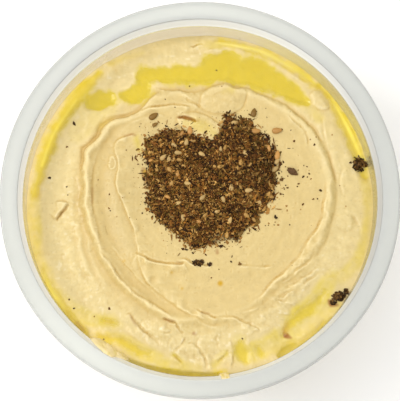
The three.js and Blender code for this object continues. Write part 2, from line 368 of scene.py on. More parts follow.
def barrel_faces(rings: int, spokes: int) -> tuple[Array, Array, Array]:
    """Joins rings of points, with one more point after them for each end.

    Args:
        rings: How many rings there are.
        spokes: How many points lie round each.

    Returns:
        The quads between the rings, and the triangles at the first and at the last end.
    """
    s = np.arange(spokes)
    after, last, end = (s + 1) % spokes, (rings - 1) * spokes, rings * spokes
    quads = loop_faces(rings, spokes)[:last, [0, 3, 2, 1]]
    first = np.stack([np.full(spokes, end), s, after], -1)
    return quads, first, np.stack([np.full(spokes, end + 1), last + after, last + s], -1)


def coat(pieces: list[Piece], material: bpy.types.Material) -> None:
    """Gives each piece the material."""
    for piece in pieces:
        piece.data.materials.append(material)


def add(
    tree: bpy.types.NodeTree,
    kind: str,
    settings: dict[str, Any] | None = None,
    inputs: dict[str | int, Any] | None = None,
) -> bpy.types.Node:
    """Adds a node.

    Args:
        tree: The tree that it goes into.
        kind: The node's type, without the leading ShaderNode.
        settings: Values of the node's own properties.
        inputs: A value, or the socket that feeds it, for each named or numbered input.

    Returns:
        The node.
    """
    node = tree.nodes.new("ShaderNode" + kind)
    for name, value in (settings or {}).items():
        setattr(node, name, value)
    for name, value in (inputs or {}).items():
        if isinstance(value, bpy.types.NodeSocket):
            tree.links.new(value, node.inputs[name])
        else:
            node.inputs[name].default_value = value
    return node


def bare_material(name: str) -> tuple[bpy.types.Material, bpy.types.NodeTree, bpy.types.Node]:
    """Makes a material that holds only its output node.

    Args:
        name: The material's name.

    Returns:
        The material, its node tree and the output node.
    """
    material = bpy.data.materials.new(name)
    material.use_nodes = True
    tree = material.node_tree
    tree.nodes.clear()
    return material, tree, add(tree, "OutputMaterial")


# --- finishes


@dataclass(frozen=True)
class ChickpeaPaste:
    """Blended chickpea and tahini, spread with a spoon."""

    name: str = "chickpea_paste"
    ior: float = 1.42
    roughness: float = 0.52
    wet_roughness: float = 0.2
    cloud: float = 2.4  # mm, patches of thicker and thinner paste
    cloud_depth: float = 0.05
    grain: float = 0.38  # mm, ground chickpea skin
    bump: float = 0.06  # mm

    def material(self) -> bpy.types.Material:
        """Builds the material from the mesh's colour and wetness.

        Returns:
            The material.
        """
        material, tree, out = bare_material(self.name)
        place = add(tree, "TexCoord").outputs["Object"]
        paste = add(tree, "Attribute", {"attribute_name": "paste"})
        cloud = add(
            tree, "TexNoise", None, {"Vector": place, "Scale": 1 / (self.cloud * MM), "Detail": 3.0}
        )
        # Thin and thick patches make the pale paste faintly mottled.
        shade = add(
            tree, "MapRange", None,
            {0: cloud.outputs[0], 1: 0.3, 2: 0.7, 3: 1 - self.cloud_depth,
             4: 1 + 0.5 * self.cloud_depth},
        )
        tone = add(
            tree, "VectorMath", {"operation": "SCALE"},
            {0: paste.outputs["Color"], "Scale": shade.outputs[0]},
        )
        # Oil makes it shine; elsewhere it is satin.
        rough = add(
            tree, "MapRange", None,
            {0: paste.outputs["Alpha"], 3: self.roughness, 4: self.wet_roughness},
        )
        # Ground skins make a grain that is just visible.
        grain = add(
            tree, "TexNoise", None, {"Vector": place, "Scale": 1 / (self.grain * MM), "Detail": 3.0}
        )
        bump = add(
            tree, "Bump", None,
            {"Strength": 0.4, "Distance": self.bump * MM, "Height": grain.outputs[0]},
        )
        # Moist paste has a soft even shine.
        shader = add(
            tree, "BsdfPrincipled", None,
            {
                "Base Color": tone.outputs[0], "Roughness": rough.outputs[0],
                "Normal": bump.outputs[0], "IOR": self.ior,
            },
        )
        tree.links.new(shader.outputs[0], out.inputs[0])
        return material


@dataclass(frozen=True)
class OliveOil:
    """Clear golden olive oil, poured."""

    name: str = "olive_oil"
    ior: float = 1.47
    roughness: float = 0.04

    def material(self) -> bpy.types.Material:
        """Builds the material. The tint that a depth of oil gives comes from the mesh.

        Returns:
            The material.
        """
        material, tree, out = bare_material(self.name)
        # What is under it shows through, yellower where it is deep.
        tint = add(tree, "Attribute", {"attribute_name": "tint"})
        clear = add(tree, "BsdfTransparent", None, {"Color": tint.outputs["Color"]})
        # A level liquid face gives a crisp wet shine, on either side alike.
        shine = add(tree, "BsdfGlossy", None, {"Roughness": self.roughness})
        inside = add(tree, "NewGeometry").outputs["Backfacing"]
        index = add(tree, "MapRange", None, {0: inside, 3: self.ior, 4: 1 / self.ior})
        fresnel = add(tree, "Fresnel", None, {"IOR": index.outputs[0]})
        mixed = add(
            tree, "MixShader", None,
            {0: fresnel.outputs[0], 1: clear.outputs[0], 2: shine.outputs[0]},
        )
        tree.links.new(mixed.outputs[0], out.inputs[0])
        return material


@dataclass(frozen=True)
class ClearPolypropylene:
    """Polypropylene sheet, thermoformed to 0.6 mm."""

    name: str = "clear_polypropylene"
    tint: str = "f6f7f4"
    cloudiness: str = "fafbfa"
    roughness: float = 0.1
    ior: float = 1.49

    def material(self) -> bpy.types.Material:
        """Builds the material. The film's colour and the haze come from the mesh.

        Returns:
            The material.
        """
        material, tree, out = bare_material(self.name)
        # The sheet lets most light through and takes off a little of it at each face. Above the
        # paste its inner face carries a painted reflection of the beige paste beside it, and round
        # the rim the film attribute also holds painted light and shade.
        film = add(tree, "Attribute", {"attribute_name": "film"})
        passed = add(
            tree, "VectorMath", {"operation": "MULTIPLY"},
            {0: film.outputs["Color"], 1: linear(self.tint)[:3]},
        )
        clear = add(tree, "BsdfTransparent", None, {"Color": passed.outputs[0]})
        # Its crystals scatter some light, a white haze, strongest where it was drawn least.
        spread = add(
            tree, "VectorMath", {"operation": "MULTIPLY"},
            {0: film.outputs["Color"], 1: linear(self.cloudiness)[:3]},
        )
        cloudy = add(tree, "BsdfDiffuse", None, {"Color": spread.outputs[0]})
        body = add(
            tree, "MixShader", None,
            {0: film.outputs["Alpha"], 1: clear.outputs[0], 2: cloudy.outputs[0]},
        )
        # Both faces of the sheet are glossy, and mirror most where they are seen aslant. A face
        # met from inside is given the index turned over, because the ray isn't bent on its way.
        inside = add(tree, "NewGeometry").outputs["Backfacing"]
        index = add(tree, "MapRange", None, {0: inside, 3: self.ior, 4: 1 / self.ior})
        fresnel = add(tree, "Fresnel", None, {"IOR": index.outputs[0]})
        shine = add(tree, "BsdfGlossy", None, {"Roughness": self.roughness})
        mixed = add(
            tree, "MixShader", None,
            {0: fresnel.outputs[0], 1: body.outputs[0], 2: shine.outputs[0]},
        )
        tree.links.new(mixed.outputs[0], out.inputs[0])
        return material


@dataclass(frozen=True)
class DrySkin:
    """Dry plant skin with veins or dimples, whose shade comes from the mesh."""

    name: str
    roughness: float
    vein: float  # mm, from one vein or dimple to the next
    contrast: float  # how far the veins darken and lighten it
    strength: float
    depth: float  # mm
    shine: float

    def material(self) -> bpy.types.Material:
        """Builds the material.

        Returns:
            The material.
        """
        material, tree, out = bare_material(self.name)
        place = add(tree, "TexCoord").outputs["Object"]
        shade = add(tree, "Attribute", {"attribute_name": "shade"})
        vein = add(
            tree, "TexNoise", None, {"Vector": place, "Scale": 1 / (self.vein * MM), "Detail": 2.0}
        )
        # Veins and breaks speckle each crumb lighter and darker.
        speckle = add(
            tree, "MapRange", None,
            {0: vein.outputs[0], 1: 0.3, 2: 0.7, 3: 1 - self.contrast, 4: 1 + self.contrast},
        )
        tone = add(
            tree, "VectorMath", {"operation": "SCALE"},
            {0: shade.outputs["Color"], "Scale": speckle.outputs[0]},
        )
        bump = add(
            tree, "Bump", None,
            {"Strength": self.strength, "Distance": self.depth * MM, "Height": vein.outputs[0]},
        )
        shader = add(
            tree, "BsdfPrincipled", None,
            {"Base Color": tone.outputs[0], "Roughness": self.roughness,
             "Normal": bump.outputs[0], "Specular IOR Level": self.shine},
        )
        tree.links.new(shader.outputs[0], out.inputs[0])
        return material


@dataclass(frozen=True)
class DryHerb(DrySkin):
    """Thyme and sumac, dried and rubbed to crumbs: matt, and speckled by veins and breaks."""

    name: str = "dried_thyme_and_sumac"
    roughness: float = 0.75
    vein: float = 0.25
    contrast: float = 0.35
    strength: float = 0.6
    depth: float = 0.1
    shine: float = 0.15


@dataclass(frozen=True)
class SesameHull(DrySkin):
    """Skin of a roasted sesame seed: waxy, with a soft shine and fine dimples."""

    name: str = "sesame_hull"
    roughness: float = 0.42
    vein: float = 0.3
    contrast: float = 0.0
    strength: float = 0.4
    depth: float = 0.06
    shine: float = 0.35


# --- marks in paste


@dataclass(frozen=True)
class Ridge:
    """A rounded crest along a path, or a groove where its height is negative."""

    path: Points
    height: float
    width: float
    taper: float = 0.2

    def height_at(self, x: Array, y: Array) -> Array:
        """Height times a bell of the distance, faded towards both ends.

        Args:
            x, y: The points, in millimetres.

        Returns:
            How far the mark lifts each of them.
        """
        d, share, _ = along(x, y, spline(self.path), 3 * self.width)
        ends = smoothstep(np.minimum(share, 1 - share), 0, self.taper)
        return self.height * bell(d, self.width) * ends * (np.abs(d) < 3 * self.width)


@dataclass(frozen=True)
class Fold:
    """A lip on the left of a path, steep at the path and falling away, with a crease beside it."""

    path: Points
    lip: float
    fall: float = 2.0
    crease: float = 0.0
    crease_width: float = 0.4
    taper: float = 0.2

    def height_at(self, x: Array, y: Array) -> Array:
        """Lip times a step and an exponential fall, less a bell for the crease, all uneven.

        Args:
            x, y: The points, in millimetres.

        Returns:
            How far the mark lifts each of them.
        """
        reach = 0.5 + 4 * self.fall
        d, share, _ = along(x, y, spline(self.path), reach)
        ends = smoothstep(np.minimum(share, 1 - share), 0, self.taper)
        step = smoothstep(d, -0.3, 0.35) * np.exp(-np.maximum(d - 0.35, 0) / self.fall)
        rim = smoothstep(np.abs(d), reach, 0.7 * reach)
        crease = 0.7 * self.crease * bell(d + 0.2, self.crease_width)
        uneven = 1 + 0.75 * lattice(x / 2.0, y / 2.0, 13)
        return (self.lip * step * rim - crease) * ends * uneven


@dataclass(frozen=True)
class Mound:
    """Paste dropped or lifted inside a closed outline, given anticlockwise."""

    outline: Points
    height: float
    edge: float
    crease: float = 0.0
    crown: float = 0.0

    def height_at(self, x: Array, y: Array) -> Array:
        """Height times a rounded step of the distance inside, plus a crown, less a foot crease.

        Args:
            x, y: The points, in millimetres.

        Returns:
            How far the mark lifts each of them.
        """
        d, _, _ = along(x, y, spline(self.outline, closed=True), 6.0)
        inside = np.clip((d + 0.2) / self.edge, 0, 1)
        dome = np.sqrt(np.clip(1 - (1 - inside) ** 2, 0, 1))
        return self.height * dome + self.crown * smoothstep(d, 0, 5) - self.crease * bell(
            d + 0.35, 0.5
        )


@dataclass(frozen=True)
class Patch:
    """Strokes of a brush, each a path of X, Y, half width and strength."""

    paths: tuple[Points, ...]
    soft: float = 1.0

    def cover(self, x: Array, y: Array) -> Array:
        """The strongest stroke at each point, fading over the soft width at its edge.

        Args:
            x, y: The points, in millimetres.

        Returns:
            The strength at each of them.
        """
        total = np.zeros(np.shape(x))
        for points in self.paths:
            path = spline(points) if len(points) > 1 else np.asarray(points * 2, float)
            d, _, (half, strength) = along(x, y, path, 14.0)
            total = np.maximum(
                total, strength * smoothstep(half - np.abs(d), -self.soft, self.soft)
            )
        return total


@dataclass(frozen=True)
class Pool:
    """Oil lying in a hollow: strokes of X, Y and half width, its level and its depth."""

    node: str
    level: float
    depth: float
    paths: tuple[Points, ...]
    stain: float = 1.0
    fade: float = 0.6  # how softly the stain ends
    shelf: float = 1.5  # how far inside the shore the depth is reached
    lumps: float = 0.13
    bank: float = 0.16  # height of the shore above the level

    def inside(self, x: Array, y: Array) -> Array:
        """Half width less distance, at its most over the strokes, made ragged by clouds.

        Args:
            x, y: The points, in millimetres.

        Returns:
            How far inside the shore each of them lies, negative outside.
        """
        best = np.full(np.shape(x), -14.0)
        for points in self.paths:
            d, _, (half,) = along(x, y, spline(points), 8.0)
            best = np.maximum(best, half - np.abs(d))
        return best + 0.55 * clouds(x, y, 3.2, 91, 3)

    def carve(self, x: Array, y: Array, z: Array) -> Array:
        """Draws the surface to just above the level at the shore and down to the depth inside.

        Paste that lies lower round the shore is raised to a bank. Lumps make the edge ragged.

        Args:
            x, y, z: The points, in millimetres.

        Returns:
            Their new heights.
        """
        inside = self.inside(x, y)
        floor = self.level + self.bank
        floor = floor - (self.depth + self.bank) * smoothstep(inside, -0.8, self.shelf)
        floor += self.lumps * clouds(x, y, 2.0, 57, 3)
        bank = mix(z, np.maximum(z, self.level + self.bank), smoothstep(inside, -5, -2.6))
        return mix(bank, floor, smoothstep(inside, -1.8, 0.2))


# --- the paste's surface

TUB_WALL_TOP = (53.8, 57.0)  # radius and height of the top of the tub's wall
TUB_DRAFT = math.tan(math.radians(3))

FOOT = (
    41.6, 41.8, 42.0, 42.1, 42.2, 42.1, 42.0, 41.8, 41.5, 41.0, 40.6, 40.0,
    39.5, 39.2, 39.0, 39.2, 38.5, 36.9, 35.2, 35.4, 36.2, 36.8, 37.0, 36.4,
    35.4, 34.9, 35.6, 37.7, 38.6, 37.9, 38.4, 39.5, 38.2, 37.7, 36.9, 36.5,
    37.0, 36.1, 35.8, 35.5, 35.4, 35.3, 35.3, 35.4, 35.5, 35.5, 35.6, 35.8,
    36.2, 36.9, 37.4, 37.9, 38.2, 38.1, 37.8, 37.6, 37.5, 37.6, 37.7, 37.3,
    36.7, 36.0, 35.8, 35.8, 36.2, 36.8, 37.6, 38.5, 39.4, 40.1, 40.5, 41.1,
)  # radius of the plateau's foot, every 5 degrees
CREVICE = (
    0.25, 0.3, 0.3, 0.35, 0.3, 0.25, 0.2, 0.3, 0.4, 0.9, 1.1, 0.25,
    0.08, 0.05, 0.05, 0.05, 0.05, 0.1, 0.1, 0.1, 0.1, 0.12, 0.15, 0.2,
)  # depth of the crevice at the foot, every 15 degrees
STEP = (
    0.9, 0.9, 1.0, 1.2, 1.2, 1.1, 1.1, 1.2, 1.3, 1.4, 1.4, 1.3,
    1.3, 1.3, 1.3, 1.2, 1.2, 1.2, 1.1, 1.0, 0.9, 0.7, 0.6, 0.8,
)  # height of the plateau above the ring at its foot, every 15 degrees
BEAD = (
    0.4, 0.4, 0.4, 0.4, 0.35, 0.3, 0.2, 0.2, 0.3, 0.5, 0.7, 1.0,
    1.0, 1.0, 0.9, 0.8, 0.7, 0.5, 0.2, 0.1, 0.2, 0.4, 0.4, 0.4,
)  # height of the bead just inside the foot, every 15 degrees

CHANNELS = (
    Ridge(((-21, 24.5), (-26.5, 21.5), (-29.3, 17), (-30, 12), (-30, 6), (-29.6, 0), (-28.2, -6),
           (-26.6, -12), (-24.5, -17), (-21.5, -22), (-18, -26), (-13, -30), (-9, -32.6),
           (-4, -35)), -1.25, 2.7, 0.12),
    Ridge(((-15, -22), (-8, -26.5), (0, -28.5), (9, -28), (17, -24), (24, -15), (29, -4),
           (31, 8), (27, 18), (20, 25.5)), -0.55, 6.5, 0.2),
)
FOLDS = (
    # second turn of the spiral, down the left side and along the near side
    Fold(((-17.5, 21.8), (-20, 22), (-22.3, 21.2), (-25, 20), (-26.6, 18.4), (-26.6, 16),
          (-25.5, 13), (-25.4, 10.5), (-26.2, 8), (-25.9, 5), (-25.2, 2.5), (-24, 0.5),
          (-23, -2.5), (-21.8, -5.5), (-20.5, -9), (-19.6, -12.5), (-19, -15.5), (-18.6, -19),
          (-17.2, -22.5), (-15, -26), (-12, -28.6), (-9, -30.6), (-6, -32.7), (-3, -34.5),
          (0, -36), (2.5, -36.8)), 0.55, 3.0, 0.08, 0.4, 0.05),
    # inner side of the bead: a crisp lip at the near left, soft further up
    Fold(((-8, -35.8), (-12, -32.7), (-16, -30.3), (-19.5, -28.3), (-22.5, -25.3),
          (-25.5, -22), (-28.3, -18), (-31, -14.6)), 0.5, 1.2, 0.4, 0.5, 0.1),
    Fold(((-29.4, -17), (-31, -12), (-32, -6), (-33, -2), (-33.4, 2), (-33.4, 6), (-33, 10.5),
          (-32, 15), (-30.5, 20)), 0.35, 2.2, 0.12, 0.8, 0.25),
    Fold(((-30.3, -10.8), (-28.4, -12.1), (-24, -17.8), (-20.2, -22.2), (-14.6, -27.9),
          (-11.4, -30.4), (-6, -33)), 0.16, 1.0, 0.06, 0.4, 0.15),
    # lip under the heap
    Fold(((-4.6, -18.6), (-6, -19.1), (-9.2, -19), (-12, -18.8), (-15.3, -18), (-17.5, -17),
          (-19.9, -15.6)), 0.65, 2.6, 0.55, 0.4, 0.08),
    Fold(((3.2, -19), (2.5, -19.6), (0.5, -19.5), (-1.5, -19.4), (-3, -18.8), (-4.3, -17.6),
          (-7, -17.3)), 0.3, 1.2, 0.4, 0.35),
    Fold(((23, -19.6), (19, -19.8), (15.3, -19.6), (11, -19.2)), 0.25, 2.0, 0.25),
    # far left, parallel spoon marks
    Fold(((-2.5, 29.8), (-6, 30.6), (-9.5, 30.8), (-13.5, 30.3), (-17, 29.6), (-20.3, 28.2)),
         0.5, 2.4, 0.6, 0.4, 0.15),
    Fold(((-9, 26.6), (-13, 28.2), (-17, 27.4), (-21, 25.4), (-25, 23.6)), 0.22, 2.0, 0.12, 0.5),
    Fold(((-1.8, 35.3), (-6, 35.7), (-10, 35.9), (-13.3, 36.1)), 0.35, 2.0, 0.5),
    Fold(((0.3, 29.8), (-1.3, 31.2), (-3.3, 32), (-5, 33.3)), 0.3, 1.5, 0.7, 0.45),
    # far right, inside the main crevice
    Fold(((33.8, 17), (32.9, 21), (31, 24), (28.8, 26.2), (26.5, 28.3)), 0.25, 2.0, 0.35),
    Fold(((38.5, 29), (38.2, 24), (39.2, 19), (40.6, 14), (41.3, 10)), 0.3, 2.0, 0.1, 0.5),
    # right, inner side of the bead
    Fold(((39, 8), (38.6, 2), (37.6, -4), (36, -8.3), (34.2, -10), (33, -12), (31.5, -15),
          (30, -17.3), (27.2, -19.8), (25, -22), (22.8, -24), (20.3, -27), (18.4, -29.3),
          (15.5, -31)), 0.45, 1.6, 0.4, 0.4, 0.12),
    Fold(((35.8, -15), (33, -18.3), (30, -20.7), (27.5, -22.6), (25, -25)), 0.3, 1.6, 0.3),
    # torn steps, near right
    Fold(((37.5, -19.5), (35, -21.3), (32, -23.2), (29, -25), (26.2, -27)), 0.3, 1.5, 0.3),
    Fold(((39, -21), (36, -22.7), (33, -24.6), (31.3, -26.3)), 0.3, 1.2, 0.25, 0.35),
    Fold(((29.5, -27), (27.5, -27.6), (25.6, -28.6), (24.2, -30)), 0.35, 1.0, 0.35, 0.35),
    Fold(((27, -29.4), (25.5, -30.2), (23.5, -30.6)), 0.3, 1.0, 0.3, 0.35),
    Fold(((23, -34.2), (25.5, -34.8), (28.7, -35.1)), 0.1, 1.0, 0.6, 0.45),
    Fold(((19.5, -31.5), (16, -33), (12.5, -34)), 0.25, 1.4, 0.12),
    # end of the smooth channel, near side
    Fold(((18, -40), (17.6, -38.8), (16, -37.9), (14, -37.1), (12, -36.3), (10, -35.5),
          (7, -35.6), (4, -35.8), (2, -34.7), (0, -34), (-1.5, -32.5)), 0.4, 1.8, 0.45, 0.35, 0.08),
    Fold(((9.5, -38.2), (5, -38.2), (1.5, -37.6), (-1.5, -36.2)), 0.2, 1.5, 0.12),
    # cracks and folds of the torn near zone
    Fold(((-11.8, -35.5), (-9.6, -36.4), (-7.6, -36.6), (-6.9, -37.8), (-5.6, -39.3),
          (-4.2, -40.1)), 0.15, 1.2, 0.9, 0.34, 0.15),
    Fold(((-12.2, -44.6), (-13.6, -43), (-15.4, -41.4), (-17.4, -39.6), (-19.3, -37.8),
          (-20.4, -36.4), (-21, -34.9), (-21.9, -34.3), (-23.2, -35.2)), 0.3, 1.6, 0.5, 0.38, 0.1),
    Fold(((2.0, -51.5), (1.6, -48.6), (0.6, -46.4), (-1, -44.4), (-2.5, -43.2), (-3.8, -44.2)),
         0.35, 1.4, 0.4, 0.4, 0.12),
    Fold(((-4.6, -50.6), (-5.8, -49), (-7.1, -47.8), (-8.7, -46.7)), 0.3, 1.4, 0.7, 0.55, 0.15),
    Fold(((4, -50.2), (5.6, -48.5), (7.4, -46.9), (7.9, -44.8)), 0.3, 1.2, 0.7, 0.6, 0.15),
    Fold(((9.2, -51.8), (10.1, -48.5), (9.8, -45), (9.2, -42)), 0.3, 1.2, 0.3, 0.4, 0.15),
    Fold(((16.6, -50.2), (16.3, -47), (15.6, -44), (14.6, -41)), 0.35, 1.0, 0.2, 0.5, 0.15),
    Fold(((-7.8, -45), (-6.4, -44), (-5, -42.4), (-4.4, -41)), 0.25, 1.2, 0.3, 0.35),
    Fold(((-12.3, -39.4), (-10.4, -39.9), (-8.4, -39.6)), 0.25, 1.0, 0.3, 0.35),
    Fold(((-10.6, -45), (-9.8, -42.4), (-8, -40.8)), 0.2, 1.4, 0.2, 0.4),
    Fold(((5.4, -40.4), (5, -42.4), (5.6, -44.4)), 0.2, 1.2, 0.2, 0.4),
    # ring, left: the curled lip
    Fold(((-44.4, -5.3), (-43.4, -3.9), (-42.1, -2.1), (-40.9, 0)), 0.85, 1.3, 0.7, 0.4, 0.12),
    Fold(((-40.6, 0.1), (-42.4, 0.55), (-44.5, 0.4)), 0.45, 1.3, 0.35, 0.35, 0.12),
    # ring, far side: crumbly cracks
    Fold(((6.2, 49.1), (4.4, 49), (2.4, 48.6), (1, 48), (-0.2, 47.4)), 0.35, 0.9, 0.75, 0.3),
    Fold(((-0.8, 45.4), (-2.6, 45.2), (-4.6, 44.9), (-6, 45.6), (-7.4, 46)), 0.35, 0.9, 0.75, 0.3),
    Fold(((4.4, 50.9), (2.2, 50.1), (0.2, 50.5), (-1.6, 49.7), (-3.2, 49.9)), 0.4, 1.0, 0.75, 0.3),
    Fold(((7.6, 47.4), (5, 47.6), (3.2, 47)), 0.3, 0.9, 0.7, 0.3),
    Fold(((1.6, 46.4), (-0.4, 46.9), (-2.4, 46.6)), 0.3, 0.9, 0.7, 0.3),
    # ring, right
    Fold(((42, -1.2), (45, -2.4), (47.4, -4.2), (49, -7), (49.3, -11)), 0.25, 2.2, 0.15, 0.6),
    Fold(((45, 12), (43.6, 9), (43.2, 5.5), (44.4, 2)), 0.2, 2.0, 0.15, 0.5),
)
RIDGES = (
    Ridge(((-37.9, -3), (-37.4, -9), (-36.4, -15), (-34.2, -21), (-31, -26)), 0.45, 0.9),
    Ridge(((-34.6, -9), (-34, -14), (-32.4, -19), (-30, -23.4), (-27, -27)), 0.35, 0.8),
    Ridge(((-40.5, -8), (-40, -14), (-38, -21), (-35, -27)), 0.25, 1.2),
    Ridge(((-35.8, 33), (-35.4, 27), (-36, 21)), 0.3, 0.8),
    Ridge(((-39.5, 29), (-39, 22), (-40, 14), (-41.5, 7)), 0.25, 1.4),
    Ridge(((-10.6, 51), (-10.7, 46), (-11, 42.4)), 0.2, 0.8),
    Ridge(((-8.2, 51), (-8.4, 46.5)), 0.18, 0.8),
    Ridge(((37, 27), (37.6, 21), (38.8, 15)), 0.35, 1.2),
    Ridge(((41.3, 26), (41.6, 20), (43, 14)), 0.2, 1.3),
    Ridge(((27, -31.5), (22, -33.3), (17, -35.2)), 0.3, 0.9),
    Ridge(((33, -26), (29.5, -29.5), (25, -31.6)), 0.3, 0.9),
    # a small ring pressed into the channel
    Ridge(((-28.2, 12.6), (-27.8, 14), (-27, 14.2), (-26.3, 13), (-26.4, 11.4), (-27.2, 10.9),
           (-28, 11.4), (-28.2, 12.6)), 0.3, 0.4, 0.02),
    Ridge(((18, 45.9), (22.1, 44.4), (27, 42), (32, 38.6), (35.5, 35.2)), 0.4, 0.7),
    Ridge(((3.2, -53), (2.9, -49), (1.8, -45.6)), 0.35, 0.8),
    Ridge(((-17, -35.6), (-12, -38), (-8, -42), (-4, -47)), 0.3, 1.4),
    Ridge(((12, -37.8), (15, -39.5), (16.5, -42)), 0.25, 0.9),
    Ridge(((-24, -38.5), (-23.2, -36.2), (-20.8, -40), (-17, -43.5)), 0.3, 0.9),
)
MOUNDS = (
    Mound(((0.3, 30.5), (3, 28.8), (6, 28.3), (9, 28.2), (11.8, 28.9), (13.4, 31), (14, 33.5),
           (13.6, 35.8), (11, 37.6), (8, 37.9), (4.5, 37.3), (1.8, 35.6), (0.3, 33.2)),
          0.5, 2.8, 0.15, 0.5),
    Mound(((-6.5, 24.5), (-4, 22.6), (-1, 21), (3, 19.6), (5.6, 19.8), (6.6, 22), (6, 24.3),
           (4, 26.3), (1, 27.7), (-2, 28.2), (-5, 27.9), (-7, 26.8)), 0.7, 1.8, 0.15, 0.4),
    Mound(((34.3, 34.3), (34.2, 32), (36, 30.5), (38.5, 29.6), (40, 30.5), (40.2, 32.5),
           (39, 34.5), (36.5, 35.5)), 0.8, 0.9),
    Mound(((42.2, -5), (43, -7.8), (45.6, -8.4), (47.4, -6.6), (46.5, -4.4), (44, -3.8)),
          0.25, 2.4),
)
CRACKS = (
    Fold(((-7.1, 26.9), (-5.6, 27.4), (-4.4, 26.7), (-2.6, 26.1), (-0.8, 25.5)),
         0.2, 1.0, 1.7, 0.48, 0.12),
    Fold(((3.2, 31.8), (4, 33.8), (7, 35.2), (10.4, 34.8)), 0.15, 1.4, 0.1, 0.4, 0.3),
)
ROUGH = Patch((
    ((-38.5, 12, 2.5, 0.5), (-39, 4, 2.5, 0.9), (-40, -4, 4, 0.8), (-41, -12, 5, 0.6)),
    ((-42, -18, 5, 0.6), (-37, -27, 7, 0.8), (-30, -33, 6, 0.7), (-22, -38, 6, 0.5)),
    ((-16, -39, 4, 0.9), (-8, -42, 5, 1.0), (0, -45, 6, 1.0), (9, -44, 6, 0.9)),
    ((14, -40, 4, 0.7), (21, -36, 4, 0.8), (25, -31, 4, 1.0), (31, -25, 4, 0.9)),
    ((37, -20, 4, 0.6), (42, -14, 4, 0.5), (45, -5, 4, 0.5)),
    ((-7, 46, 2.5, 0.7), (0, 47.5, 2.5, 1.0), (6, 49.5, 2, 0.9)),
    ((-23, 41, 3, 0.7), (-27, 39, 3, 0.5)),
    ((-3, 34.5, 2.5, 0.8), (0, 35, 2, 0.5)),
    ((20, -44, 5, 0.7), (28, -40, 4, 0.5)),
    ((-3, 25, 2.4, 0.5), (3.5, 23, 2.4, 0.6)),
    ((4, 32, 3, 0.4), (10, 33, 3, 0.4)),
    ((36, -12, 1.5, 0.5), (31, -20, 2, 0.7), (24, -27, 2, 0.7)),
), 2.0)
GLAZE = Patch((
    ((-51.2, 2, 1.6, 0.45), (-51, -8, 2.3, 0.55), (-49.8, -16, 1.6, 0.5), (-47, -22, 1.6, 0.4)),
    ((-46.6, -21, 1.4, 0.3), (-44.6, -26.5, 1.4, 0.3), (-40, -31.5, 2.2, 0.3),
     (-34.5, -35.5, 2.4, 0.6)),
    ((-34, -36, 2, 0.6), (-28, -36.8, 1.8, 0.8), (-24.5, -37.6, 0.8, 0.4)),
    ((-31, -42, 2, 0.6), (-25, -42, 2.2, 0.6), (-19, -45.5, 2.5, 0.6), (-12, -48.5, 2, 0.55)),
    ((-12, -49, 1.8, 0.6), (-6, -50.2, 1.6, 0.5), (-1, -51, 1.6, 0.35)),
    ((-8, -47, 0.9, 0.6), (-5.6, -49.3, 0.9, 0.6)),
    ((4.2, -50, 1, 0.5), (7.6, -46.5, 1.1, 0.7)),
    ((12, -42.5, 2, 0.3), (13, -46, 3.4, 0.6), (19, -45, 3, 0.6), (24, -41, 2.5, 0.5)),
    ((24, -44, 3, 0.6), (29, -40.5, 3, 0.5), (35, -37, 3, 0.5), (41, -32, 2.4, 0.5)),
    ((30, -35, 3, 0.75), (35, -31.5, 3.2, 0.7), (38.5, -26, 2.8, 0.6), (41, -22, 1.8, 0.4)),
    ((43, -23, 2, 0.3), (47.5, -19, 1.8, 0.6), (50, -13, 1.4, 0.5), (51.6, -4, 1.2, 0.45)),
    ((51.6, -4, 1.2, 0.45), (51.6, 3, 1.6, 0.4), (50.8, 8, 1.4, 0.5)),
    ((-36, 30, 3, 0.2), (-30, 30, 4, 0.25), (-38, 22, 3, 0.15)),
    ((37, 27, 1.6, 0.35), (34, 30.5, 1.2, 0.4)),
    ((9.6, 35.6, 1.2, 0.4), (7.6, 35, 0.8, 0.2)),
    ((0, 50.6, 1.2, 0.35), (6, 50.2, 1.4, 0.7)),
    ((-18.6, 17, 0.9, 0.5), (-19.8, 20, 0.8, 0.5), (-19, 21, 0.5, 0.3)),
    ((-28, 44.3, 0.7, 0.5), (-24, 46, 0.6, 0.4), (-18, 48, 0.5, 0.3)),
    ((-4, 25.5, 1.4, 0.4), (1, 23.8, 2.0, 0.35), (4, 22, 1.4, 0.3)),
), 1.0)
